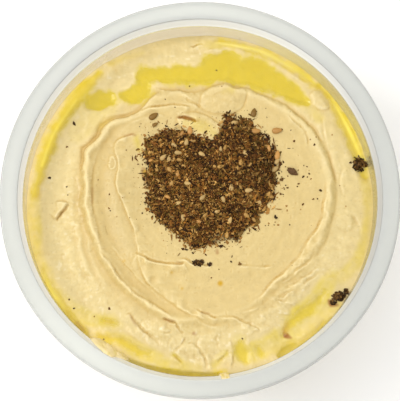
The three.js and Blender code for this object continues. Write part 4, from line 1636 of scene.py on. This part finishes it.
@dataclass
class OilPools:
    """Pools of olive oil: level tops that meet the paste wherever it rises through them."""

    surface: PasteSurface
    step: float = 0.3
    margin: float = 7  # how far past the node's box the sheet may reach
    underlap: float = 2.4  # how far the oil's sheet runs on under the shore
    absorb: Triple = (0.01, 0.06, 1.4)  # of red, green and blue, for each millimetre

    def build(self) -> list[Piece]:
        """Builds a slab for each pool; its tint is exp(-absorption times depth).

        Returns:
            The pieces.
        """
        pieces = []
        for pool in self.surface.pools:
            low, high = (np.array(c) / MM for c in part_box(pool.node))
            xs, ys = (np.arange(low[k] - self.margin, high[k] + self.margin, self.step)
                      for k in (0, 1))
            x, y = np.meshgrid(xs, ys, indexing="ij")
            inside = pool.inside(x, y)
            bed = self.surface.height(x, y)
            keep = (inside > -self.underlap) & (bed < pool.level + 0.3)
            keep &= np.hypot(x, y) < wall_radius(pool.level) + 0.25
            for other in self.surface.pools:
                keep &= (other.level >= pool.level) | (other.inside(x, y) < -1.1)
            cells = keep[:-1, :-1] | keep[1:, :-1] | keep[1:, 1:] | keep[:-1, 1:]
            radius = np.hypot(x, y)
            fit = np.minimum(1, (wall_radius(pool.level) + 0.2) / np.maximum(radius, 1e-6))
            x, y = x * fit, y * fit
            depth = np.maximum(pool.level - bed, 0)
            top = np.full(x.shape, pool.level)
            bottom = np.minimum(bed - 0.3, pool.level - 0.45)
            points, faces, source = slab(x, y, cells, top, bottom)
            tint = np.exp(-np.array(self.absorb) * depth.ravel()[source][:, None])
            tint[len(points) // 2 :] = 1
            pieces.append(new_piece(pool.node + "_sheet", points, faces, (pool.node,),
                                    {"tint": tint}))
        return pieces

    def dress(self, pieces: list[Piece]) -> None:
        """Gives every pool the same oil."""
        coat(pieces, OliveOil().material())


# --- heap and scatter

HEART = (
    (-16.2, 20), (-16, 17), (-17.2, 15.2), (-16, 13), (-15.6, 11), (-16.2, 8.5), (-16.2, 6),
    (-15.2, 4), (-15.8, 2), (-15.4, -0.8), (-14, -3), (-12.8, -4.8), (-10.2, -6.8), (-8, -8.8),
    (-5.6, -10.8), (-4, -12.3), (-2.5, -13.4), (-1, -13.8), (0.8, -13.7), (2.4, -12.6),
    (4.6, -12.8), (6.6, -11.4), (8.8, -11.6), (10.8, -11.2), (11.8, -9.6), (13.4, -8),
    (15, -6.6), (16.8, -5.8), (17.2, -3.8), (19.3, -1.6), (21, 0.6), (22.2, 4), (22.8, 7),
    (22.2, 9), (22.6, 12), (22.4, 14.6), (21.4, 17.3), (19.4, 19.6), (17, 21.3), (16, 23.2),
    (14.8, 25.2), (12, 25.9), (10, 26.8), (8.6, 27.2), (7.9, 25.6), (6.6, 22.8), (5.6, 20.6),
    (4, 19.4), (1, 20.2), (-1.5, 20.8), (-3, 21.8), (-6, 22.4), (-9, 22.5), (-11.4, 21.8),
    (-13.6, 20.6),
)


def turned(roll: Array, pitch: Array, yaw: Array) -> Array:
    """Turns about X by roll, then about Y by pitch, then about Z by yaw.

    Args:
        roll, pitch, yaw: The angles for each body, in radians.

    Returns:
        A rotation matrix for each body.
    """
    cr, sr, cp, sp, cy, sy = (f(a) for a in (roll, pitch, yaw) for f in (np.cos, np.sin))
    rows = [
        [cy * cp, cy * sp * sr - sy * cr, cy * sp * cr + sy * sr],
        [sy * cp, sy * sp * sr + cy * cr, sy * sp * cr - cy * sr],
        [-sp, cp * sr, cp * cr],
    ]
    return np.moveaxis(np.array(rows), 2, 0)


def tumbled(rng: np.random.Generator, count: int, tilt: Array | float) -> Array:
    """Rotation matrices of bodies that lie in any direction, tilted by about so many radians."""
    roll, pitch = rng.normal(0, 1, (2, count)) * tilt
    return turned(roll, pitch, rng.uniform(0, 2 * np.pi, count))


def strewn(shapes: Array, faces: Array, turns: Array, places: Array) -> tuple[Array, Array]:
    """Joins many small bodies of one build into one mesh.

    Args:
        shapes: Each body's own points, as bodies by points by three.
        faces: The faces of one body, in its own vertex numbers.
        turns: A rotation matrix for each body.
        places: Where each body's origin goes.

    Returns:
        All the points, and all the faces.
    """
    points = np.einsum("kij,kpj->kpi", turns, shapes) + places[:, None]
    offset = np.arange(len(shapes))[:, None, None] * shapes.shape[1]
    return points.reshape(-1, 3), (faces[None] + offset).reshape(-1, faces.shape[1])


def crumb_piece(
    name: str, shapes: Array, turns: Array, places: list[Array], shade: Array
) -> Piece:
    """Joins crumbs into one piece with flat faces. The places are the X, Y and Z of each."""
    points, faces = strewn(shapes, FLAKE_FACES, turns, np.stack(places, -1))
    return new_piece(name, points, [faces], (), {"shade": shade}, smooth=False)


def flake_shapes(rng: np.random.Generator, sizes: Array, stretch: Array, thick: Array) -> Array:
    """Ragged thin crumbs: a six-cornered rim with a point above and a point below.

    Args:
        rng: The source of random numbers.
        sizes: Half length of each crumb.
        stretch: Length over width of each crumb.
        thick: Half thickness of each crumb.

    Returns:
        Each crumb's eight points.
    """
    count = len(sizes)
    angle = np.arange(6) * np.pi / 3 + rng.uniform(-0.35, 0.35, (count, 6))
    reach = rng.uniform(0.6, 1.15, (count, 6))
    x = np.cos(angle) * reach * sizes[:, None]
    y = np.sin(angle) * reach * (sizes / stretch)[:, None]
    z = rng.uniform(-0.8, 0.8, (count, 6)) * thick[:, None] + (x * x - y * y) * 0.25
    rim = np.stack([x, y, z], -1)
    poles = np.zeros((count, 2, 3))
    poles[:, :, :2] = rng.uniform(-0.25, 0.25, (count, 2, 2)) * sizes[:, None, None]
    poles[:, 0, 2], poles[:, 1, 2] = thick * 1.3, -thick * 1.3
    return np.concatenate([rim, poles], 1)


FLAKE_FACES = np.array(
    [[i, (i + 1) % 6, 6] for i in range(6)] + [[(i + 1) % 6, i, 7] for i in range(6)]
)


def seed_shape(rings: int = 9, spokes: int = 12) -> tuple[Array, Array]:
    """One sesame seed of unit half length: an oval narrowing to a point at one end.

    The half width at x is sqrt(1 - x^2) times (0.57 - 0.17 x), and the height 0.6 of the width.

    Args:
        rings: Number of rings between the two ends.
        spokes: Number of points round each ring.

    Returns:
        The points and the triangles.
    """
    t = np.arange(1, rings + 1) * np.pi / (rings + 1)
    x = np.cos(t)
    half = np.sin(t) * (0.57 - 0.17 * x)
    a = np.arange(spokes) * 2 * np.pi / spokes
    body = np.stack([
        np.repeat(x[:, None], spokes, 1), half[:, None] * np.cos(a),
        0.6 * half[:, None] * np.sin(a),
    ], -1).reshape(-1, 3)
    points = np.vstack([body, [[1, 0, 0]], [[-1, 0, 0]]])
    quads, tip, tail = barrel_faces(rings, spokes)
    faces = np.vstack([quads[:, [0, 1, 2]], quads[:, [0, 2, 3]], tip, tail])
    return points, faces[:, ::-1]


class Roast(Enum):
    """How dark a sesame seed is roasted, with its colour."""

    PALE = "b4945a"
    TAN = "a8803f"
    TOASTED = "b48342"
    DARK = "775618"


PALE, TAN, TOASTED, DARK = Roast

# X, Y, direction in degrees, length in mm, roast
SEEDS: tuple[tuple[float, float, float, float, Roast], ...] = (
    (-12.2, 19.4, 20, 1.8, TAN), (-8, 17.8, -30, 2.6, PALE), (-4.2, 18.7, 80, 3.0, PALE),
    (-2.2, 19.2, 0, 2.6, TAN), (-6.7, 15.3, -3, 3.1, PALE), (-11.3, 13.9, 40, 3.2, PALE),
    (-9.5, 13.7, 80, 2.9, PALE), (-8.2, 13.2, 60, 2.4, TAN), (-6.2, 13, -20, 2.6, TAN),
    (-4.2, 14.6, -50, 2.2, TAN), (0.6, 14.9, -30, 3.0, PALE), (6.4, 16.6, 90, 2.2, PALE),
    (7.8, 17.1, 70, 2.4, TAN), (14, 15.3, -45, 3.0, PALE), (12.6, 12.4, 80, 2.8, TAN),
    (15.5, 11.8, 60, 2.2, TAN), (6.3, 11, 20, 2.6, TAN), (-9.4, 10, -60, 2.8, TAN),
    (-6.9, 8.9, 85, 2.8, TOASTED), (-5, 11.2, -20, 2.0, TAN), (-8.8, 5.5, 75, 3.0, TAN),
    (-3.8, 5.7, -10, 2.8, PALE), (-9.9, 1.5, -30, 2.4, TOASTED), (0.8, 1.3, 50, 3.0, PALE),
    (7.2, 0.6, -70, 2.8, PALE), (9.6, 4.4, 85, 3.0, PALE), (15, 3.5, 8, 3.2, PALE),
    (18.3, -0.2, -75, 3.0, PALE), (5.3, -3.1, 20, 2.4, PALE), (14.3, -4.2, -40, 2.8, TAN),
    (16.5, -5.4, -50, 2.4, TAN), (9.2, -5.8, 70, 3.0, PALE), (-5.2, -5, -80, 2.8, PALE),
    (-0.2, -6.2, -8, 2.6, TOASTED), (1.6, -4.2, 50, 2.4, TAN), (8.2, -10.1, 85, 3.0, TAN),
    (10.8, 25, 5, 3.0, PALE), (11, 23.4, 15, 2.4, DARK), (-15, 13.2, 20, 2.4, TOASTED),
    (-6.6, -0.4, 20, 2.6, PALE), (-8.6, -4.6, 10, 2.2, DARK), (12.4, -9.6, 40, 2.4, DARK),
    (2, 21.6, 10, 0.8, TAN), (-5.6, 21.6, 60, 2.6, TOASTED), (21.2, 17, -75, 3.0, TOASTED),
    (23.9, 15, 80, 3.0, TOASTED), (17.2, 22.5, 3, 3.2, TOASTED), (-3.1, 22.6, 88, 2.8, TOASTED),
    (23.1, 10.6, 30, 2.8, PALE), (23.8, 13.1, 60, 2.4, PALE), (21.6, 2, -20, 2.6, TAN),
    (19.6, -1.6, 70, 2.4, TAN), (-14.4, 27.2, 35, 3.2, DARK), (-13.9, 24.6, 30, 2.0, DARK),
    (16.7, 28.4, 80, 2.9, DARK), (23.9, 22.7, 8, 3.2, TOASTED), (-2.6, -0.6, 30, 1.8, TAN),
    (12.6, 4.5, -60, 2.2, TAN), (-11, 4, 70, 2.0, DARK), (3.2, 9.4, 15, 1.8, DARK),
    (17.6, 8.8, 30, 2.0, DARK), (10.4, 15, 0, 1.6, DARK),
)
# X, Y and size of dark crumbs lying apart, in mm
SPECKS: Points = (
    (-39.1, 25.1, 1.5), (-41.2, 17.8, 1.1), (-46.6, 8, 1.1), (-41.1, 5.2, 0.6), (-40.8, 2.6, 0.6),
    (-31.5, 7.3, 0.5), (-28, 2.8, 0.7), (-28, -1.6, 0.8), (-27.6, -2.4, 0.5), (-25.6, -4.3, 0.5),
    (-23.9, 1.5, 0.5), (-17.7, -3.3, 0.7), (-12.8, 25.4, 0.9), (-40, -30, 0.9), (-38.5, -32.7, 0.9),
    (-27.7, -32.7, 0.9), (-32.2, -35.1, 0.5), (-29.4, -42.1, 0.7), (12.9, -41.9, 0.7),
    (5.2, 42.3, 0.8), (12.2, -19, 1.2), (9.6, -18.3, 0.8), (35.4, 18.3, 1.2), (36, 20.8, 0.6),
    (34.2, 20, 0.6), (41, 21.6, 0.6), (29.2, 19.5, 0.9), (28.2, 22.9, 0.5), (25.4, 23.1, 0.8),
    (31.8, 8.3, 1.0), (33.7, 9.2, 0.9), (33.2, 8.2, 0.6), (34.3, 7.6, 0.7), (32.1, 11.8, 0.5),
    (33.1, 11.5, 0.5), (33.7, 10.3, 0.4), (30.4, 10.4, 0.6), (25.3, 7.4, 1.6), (27, 4.8, 1.0),
    (26, 4.4, 0.6), (24.8, 2.8, 0.8), (25.6, 2.7, 0.7), (30.4, 6.1, 0.8), (30, 5.2, 0.5),
    (23.8, 1.7, 0.7), (37.2, 3.9, 1.1), (34.9, 1.3, 1.0), (36.3, 1.3, 0.6), (31.7, -0.4, 0.9),
    (31, -2, 0.5), (23.2, -4.3, 1.5), (21.2, -6.4, 0.8), (24, -6.9, 0.8), (23.1, -6, 0.6),
    (22.8, -6.9, 0.5), (27.6, -6.8, 0.5), (26.6, -1, 0.8), (26.8, -2.4, 0.8), (46.6, 12.8, 1.0),
    (43.2, 5.6, 0.5), (45, -0.9, 0.5), (-17.2, 4.6, 0.6), (-16.8, 2.9, 0.8), (-17.6, 2.8, 0.6),
    (-16.6, 0.6, 0.5), (-17.3, 15.9, 1.0), (-16.6, 16.6, 0.9), (-20.8, 14.2, 0.4),
    (-22.8, 16.5, 0.4), (-19.6, 14.4, 0.3), (-13.2, -4.9, 1.1), (-11.4, -6.4, 1.3), (-13.7, -6.2, 0.6),
    (-9.6, -9.8, 0.5), (-4.4, -14.2, 0.6), (-1.6, -14.6, 0.6), (-0.3, -14.2, 0.4),
    (6.2, 22.2, 0.7), (6.8, 24, 0.8), (-6.6, 35.9, 0.5), (-3.2, 37.2, 0.6), (-10.8, 32.7, 0.5),
    (-7.8, 30.1, 0.5), (6.8, 36.7, 0.5), (3.3, 16.2, 0.5), (30.4, 15, 0.3), (12.5, 52.2, 0.5),
    (3.5, -23.3, 0.6), (5.8, -20.7, 0.5), (34.2, -7, 0.3), (-11.7, 25, 0.4), (-9.8, 23.5, 0.5),
    (25.8, 12.9, 1.0), (24.4, 9.3, 1.0), (27.1, 8.5, 0.5), (26.4, 11.4, 0.5), (24.6, 12.2, 0.8),
    (-31.6, -45.6, 0.6),
)


@dataclass
class ZaatarHeap:
    """Heart-shaped heap: a lumpy core under loose crumbs, stalks, dust and seeds."""

    surface: PasteSurface
    height: float = 1.9
    edge: float = 0.5
    crumbs: int = 8200
    stalks: int = 1100
    dust: int = 2600
    core_step: float = 0.34
    lightness: float = 1.07  # of the browns, in the loose herbs
    seed: int = 7
    browns: tuple[str, ...] = ("3e260d", "553312", "6d4517", "855820", "2c1a09", "966c34",
                               "5b4416", "735524", "70461b", "aa8448")

    def __post_init__(self) -> None:
        """Draws the heart's outline as a fine closed path."""
        self.outline = spline(HEART, 0.6, closed=True)
        self.rng = np.random.default_rng(self.seed)

    def inside(self, x: Array, y: Array) -> Array:
        """Distance inside the outline, negative outside."""
        return along(x, y, self.outline, 9.0)[0]

    def top(self, x: Array, y: Array) -> Array:
        """Core's height: the paste, a steep edge, a rounded body and crumb-sized lumps.

        Args:
            x, y: The points, in millimetres.

        Returns:
            The height of each of them.
        """
        inside = self.inside(x, y)
        body = self.edge * smoothstep(inside, -0.6, 0.4) + (self.height - self.edge) * np.sqrt(
            smoothstep(inside, -0.2, 6.0)
        )
        lumps = 0.28 * clouds(x, y, 2.4, 61, 2) + 0.2 * clouds(x, y, 0.9, 62, 2)
        return self.base(x, y) + body + lumps * smoothstep(inside, -0.5, 1.0)

    def base(self, x: Array, y: Array) -> Array:
        """The paste under the heap."""
        return self.surface.height(x, y)

    def core(self) -> Piece:
        """Builds the core as a slab from inside the paste up to its lumpy top.

        Returns:
            The piece.
        """
        xs, ys = np.arange(-20, 26, self.core_step), np.arange(-17, 30, self.core_step)
        x, y = np.meshgrid(xs, ys, indexing="ij")
        keep = self.inside(x, y) > 3.2 * bell(np.hypot(x - 5.5, y + 12.5), 4.0) - 0.4
        cells = keep[:-1, :-1] & keep[1:, :-1] & keep[1:, 1:] & keep[:-1, 1:]
        points, faces, source = slab(x, y, cells, self.top(x, y), self.base(x, y) - 0.4)
        shade = rgb(self.browns[0]) * np.ones((len(points), 3))
        shade *= 0.75 + 0.3 * clouds(points[:, 0], points[:, 1], 1.1, 63, 2)[:, None]
        return new_piece("zaatar_core", points, faces, ("zaatar_heap",),
                         {"shade": np.clip(shade, 0.004, 1)})

    def spots(self, count: int, spread: float) -> tuple[Array, Array, Array]:
        """Draws places in and round the heap.

        Args:
            count: How many places.
            spread: How far outside the outline the crumbs thin out to 1/e.

        Returns:
            X, Y and the distance inside the outline of each place.
        """
        got: list[Array] = []
        while sum(len(g) for g in got) < count:
            x, y = self.rng.uniform(-22, 30, 4 * count), self.rng.uniform(-20, 30, 4 * count)
            inside = self.inside(x, y)
            share = np.where(inside > -0.2, 1.0, np.exp(inside / spread))
            # Fewer lie at the near right, where the paste shows between the stalks.
            share *= 1 - 0.6 * bell(np.hypot(x - 6.5, y + 12), 3.2)
            take = self.rng.random(len(x)) < share
            got.append(np.stack([x, y, inside], -1)[take])
        return tuple(np.vstack(got)[:count].T)

    def shades(self, x: Array, y: Array, points_each: int) -> Array:
        """Picks one brown for each body, darker to the far right.

        Args:
            x, y: The bodies' places, in millimetres.
            points_each: How many points each has.

        Returns:
            The brown of each point.
        """
        table = np.array([rgb(c) for c in self.browns])
        pick = self.lightness * table[self.rng.integers(0, len(table), len(x))]
        patchy = 1 + 0.3 * clouds(x, y, 5.0, 66, 2)
        patchy *= 1 - 0.35 * smoothstep(x, 10, 19) * smoothstep(y, 0, 8)
        pick = pick * (self.rng.uniform(0.7, 1.35, len(x)) * patchy)[:, None]
        return np.repeat(pick, points_each, 0)

    def loose(self) -> list[Piece]:
        """Builds the crumbs, the stalks and the dust.

        Returns:
            The pieces.
        """
        rng = self.rng
        pieces = []
        # spread past the outline, least and greatest half length, stretch and half thickness
        for name, count, spread, low, high, stretch, thick in (
            ("zaatar_crumbs", self.crumbs, 0.6, 0.3, 0.95, (1.1, 2.8), (0.06, 0.18)),
            ("thyme_stalks", self.stalks, 1.0, 0.6, 1.5, (4.0, 7.5), (0.08, 0.13)),
            ("herb_dust", self.dust, 1.6, 0.1, 0.24, (1.0, 1.8), (0.04, 0.09)),
        ):
            x, y, inside = self.spots(count, spread)
            sizes = low + (high - low) * rng.random(count) ** 1.8
            sizes *= 1 + 0.3 * smoothstep(x, 10, 19)
            shapes = flake_shapes(rng, sizes, rng.uniform(*stretch, count),
                                  rng.uniform(*thick, count))
            tilt = 0.55 * smoothstep(inside, -1, 1)
            turns = tumbled(rng, count, tilt)
            z = np.where(inside > -0.6, self.top(x, y), self.base(x, y))
            z = z + rng.uniform(-0.05, 0.35, count) * smoothstep(inside, -0.4, 1.0) + 0.04
            pieces.append(crumb_piece(name, shapes, turns, [x, y, z], self.shades(x, y, 8)))
        return pieces

    def seeds(self) -> Piece:
        """Builds the sesame seeds, in the heap and beside it.

        Returns:
            The piece.
        """
        shape, faces = seed_shape()
        table = np.array([(x, y, math.radians(a), n) for x, y, a, n, _ in SEEDS])
        x, y, yaw, length = table.T
        inside = self.inside(x, y)
        length = np.where(inside > 0, 0.78, 1.0) * length
        lift = 0.28 * length / 2
        z = np.where(inside > 0, self.top(x, y) + 0.04, self.base(x, y)) + lift
        rng = self.rng
        loose = np.where(inside > 0, 1.0, 0.25)
        turns = turned(rng.normal(0, 0.25, len(x)) * loose, rng.normal(0, 0.15, len(x)) * loose, yaw)
        shapes = shape[None] * (length / 2)[:, None, None]
        points, all_faces = strewn(shapes, faces, turns, np.stack([x, y, z], -1))
        tones = np.array([rgb(r.value) for *_, r in SEEDS])
        tones = tones * rng.uniform(0.88, 1.12, (len(tones), 1))
        tip = 1 - 0.4 * smoothstep(np.tile(shape[:, 0], len(x)), 0.75, 1.0)
        shade = np.repeat(tones, len(shape), 0) * tip[:, None]
        return new_piece("sesame_seeds", points, [all_faces], (), {"shade": shade})

    def build(self) -> dict[str, list[Piece]]:
        """Builds the core, the loose herbs and the seeds."""
        return {"core": [self.core()], "loose": self.loose(), "seeds": [self.seeds()]}

    def dress(self, pieces: dict[str, list[Piece]]) -> None:
        """Gives herbs and seeds their skins."""
        coat(pieces["core"] + pieces["loose"], DryHerb().material())
        coat(pieces["seeds"], SesameHull().material())


@dataclass
class Strays:
    """Single crumbs on the paste, clumps of herb by the wall and near the heap, a berry chip."""

    surface: PasteSurface
    seed: int = 19
    perch: float = 60.85  # height of the last crumb, which lies at the flange's inner edge
    # centre, spread along X and Y, height, number of crumbs
    clumps: Points = (
        (49.2, 12.6, 1.25, 1.7, 1.6, 170), (51.8, 12.7, 0.7, 0.5, 0.9, 30),
        (42.3, -28.9, 1.25, 0.95, 1.3, 120), (44.7, -27.3, 0.5, 0.7, 0.7, 26),
        (40.7, -30.9, 0.7, 0.5, 0.5, 26), (-0.7, -18.7, 1.1, 0.6, 0.7, 60),
        (2.8, -19.2, 0.5, 0.25, 0.2, 10),
    )
    browns: tuple[str, ...] = ("3c2810", "503516", "664822", "7a5a2c", "30200f")
    berry: str = "5c4228"
    berry_half: Triple = (1.75, 1.05, 0.7)  # half length, width and height
    berry_place: tuple[float, float] = (28.5, 9.9)
    berry_yaw: float = -28.0  # degrees

    def crumbs(self) -> Piece:
        """Builds the single crumbs, each half sunk in the paste but the last.

        Returns:
            The piece.
        """
        rng = np.random.default_rng(self.seed)
        x, y, size = np.array(SPECKS).T
        count = len(x)
        shapes = flake_shapes(rng, size * 0.54, rng.uniform(1.0, 1.5, count), size * 0.3)
        turns = tumbled(rng, count, 0.15)
        z = self.surface.height(x, y) + 0.04
        z[-1] = self.perch
        # The smallest are thin, and paler.
        pale = np.repeat(mix(2.0, 1.0, smoothstep(size, 0.6, 1.3)), 8)[:, None]
        shade = pale * self.shades(rng, count)
        return crumb_piece("herb_specks", shapes, turns, [x, y, z], shade)

    def shades(self, rng: np.random.Generator, count: int) -> Array:
        """One dark brown for each crumb, repeated for its eight points."""
        table = np.array([rgb(c) for c in self.browns])
        return np.repeat(table[rng.integers(0, len(table), count)], 8, 0)

    def heaps(self) -> Piece:
        """Builds the clumps: crumbs piled where a bell over the clump says.

        Returns:
            The piece.
        """
        rng = np.random.default_rng(self.seed + 1)
        rows = []
        for cx, cy, sx, sy, height, count in self.clumps:
            u, v = rng.normal(0, 0.55, (2, int(count)))
            keep = np.hypot(u, v) < 1.25
            u, v = u[keep], v[keep]
            lift = height * bell(np.hypot(u, v), 0.9) * rng.random(len(u))
            rows.append(np.stack([cx + sx * u * 1.3, cy + sy * v * 1.3, lift], -1))
        x, y, lift = np.vstack(rows).T
        count = len(x)
        r = np.hypot(x, y)
        fit = np.minimum(1, (wall_radius(50.0) - 0.5) / r)
        x, y = x * fit, y * fit
        sizes = rng.uniform(0.35, 0.8, count)
        shapes = flake_shapes(rng, sizes, rng.uniform(1, 2, count), rng.uniform(0.1, 0.22, count))
        turns = tumbled(rng, count, 0.6)
        z = self.surface.height(x, y) + 0.1 + lift
        return crumb_piece("herb_clumps", shapes, turns, [x, y, z], self.shades(rng, count))

    def chip(self) -> Piece:
        """Builds the dried berry chip: a flattened lump, wrinkled by noise.

        Returns:
            The piece.
        """
        count = 24
        t = np.linspace(0, np.pi, count)[1:-1, None]
        a = np.arange(count * 2) * np.pi / count
        lump = 1 + 0.16 * lattice(3 * np.cos(a) * np.sin(t) + 5, 3 * np.sin(a) * np.sin(t) + 5, 5)
        length, width, height = self.berry_half
        body = np.stack([
            length * np.sin(t) * np.cos(a) * lump, width * np.sin(t) * np.sin(a) * lump,
            height * np.cos(t) * lump,
        ], -1)
        points = np.vstack([body.reshape(-1, 3), [[0, 0, 0.62]], [[0, 0, -0.62]]])
        yaw = np.array([math.radians(self.berry_yaw)])
        turn = turned(np.zeros(1), np.zeros(1), yaw)[0]
        centre = np.array(self.berry_place)
        z = self.surface.height(centre[:1], centre[1:])[0] + 0.3
        points = points @ turn.T + np.array([*centre, z])
        faces = list(barrel_faces(*body.shape[:2]))
        shade = rgb(self.berry) * np.ones((len(points), 3))
        return new_piece("berry_chip", points, faces, (), {"shade": shade})

    def build(self) -> list[Piece]:
        """Builds all of them."""
        return [self.crumbs(), self.heaps(), self.chip()]

    def dress(self, pieces: list[Piece]) -> None:
        """Gives them the skin of dried herb, darker and a little shinier than the heap."""
        coat(pieces, DryHerb("oiled_herb", roughness=0.55).material())


# --- studio


@dataclass
class Studio:
    """Pale floor, soft light from the left and above, and the camera."""

    tilt: float = 9.0  # degrees from straight down
    distance: float = 600.0
    rim_height: float = 62.0
    centre_shift: float = 1.207  # how far the rim's middle lies above the view's middle
    focal_px: float = 1988.0
    frame_px: float = 400.0
    sensor: float = 36.0
    floor_half: float = 3.0  # metres
    floor_paint: str = "f7f7f7"
    surround: float = 0.98
    # name, place and size in metres, watts
    lamps: tuple[tuple[str, Triple, float, float], ...] = (
        ("key", (-0.8, 0.15, 1.05), 0.45, 6.6),
        ("top", (0.05, 0.1, 1.4), 1.1, 3.0),
    )

    def camera(self) -> None:
        """Looks down at the rim's middle, tilted towards the near side."""
        tilt = math.radians(self.tilt)
        ahead = np.array([0, math.sin(tilt), -math.cos(tilt)])
        up = np.array([0, math.cos(tilt), math.sin(tilt)])
        place = np.array([0, 0, self.rim_height]) - self.distance * ahead - self.centre_shift * up
        data = bpy.data.cameras.new("camera")
        data.sensor_width = self.sensor
        data.sensor_fit = "HORIZONTAL"
        data.lens = self.focal_px / self.frame_px * self.sensor
        data.clip_start, data.clip_end = 0.01, 10
        camera = bpy.data.objects.new("camera", data)
        camera.location = place * MM
        camera.rotation_euler = (tilt, 0, 0)
        bpy.context.scene.collection.objects.link(camera)
        bpy.context.scene.camera = camera

    def floor(self) -> None:
        """Lays a large pale floor under the tub."""
        mesh = bpy.data.meshes.new("floor")
        half = self.floor_half
        mesh.from_pydata(
            [(-half, -half, 0), (half, -half, 0), (half, half, 0), (-half, half, 0)], [],
            [(0, 1, 2, 3)],
        )
        floor = bpy.data.objects.new("floor", mesh)
        bpy.context.scene.collection.objects.link(floor)
        material, tree, out = bare_material("pale_floor")
        paint = add(tree, "BsdfDiffuse", None, {"Color": linear(self.floor_paint)})
        tree.links.new(paint.outputs[0], out.inputs[0])
        mesh.materials.append(material)

    def lights(self) -> None:
        """Adds a key light on the left, a broad one above and an even surround."""
        for name, place, size, watts in self.lamps:
            data = bpy.data.lights.new(name, "AREA")
            data.size = size
            data.energy = watts
            lamp = bpy.data.objects.new(name, data)
            lamp.location = place
            aim = -np.array(place) + np.array([0, 0, 0.05])
            lamp.rotation_euler = (
                math.pi - math.acos(aim[2] / np.linalg.norm(aim)), 0,
                math.atan2(aim[1], aim[0]) - math.pi / 2,
            )
            bpy.context.scene.collection.objects.link(lamp)
        world = bpy.data.worlds.new("surround")
        world.use_nodes = True
        tree = world.node_tree
        tree.nodes.clear()
        glow = add(tree, "Background", None, {"Color": linear("ffffff"), "Strength": self.surround})
        tree.links.new(glow.outputs[0], add(tree, "OutputWorld").inputs[0])
        bpy.context.scene.world = world

    def build(self) -> None:
        """Builds the whole studio."""
        self.camera()
        self.floor()
        self.lights()
        bpy.context.scene.view_settings.view_transform = "Standard"


def main() -> None:
    """Builds every piece in order."""
    logging.basicConfig(level=logging.INFO, format="%(message)s")
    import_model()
    Studio().build()
    surface = PasteSurface()
    for part in (Tub(), Hummus(surface), WallSmears(surface), OilPools(surface),
                 ZaatarHeap(surface), Strays(surface)):
        part.dress(part.build())


if __name__ == "__main__":
    main()
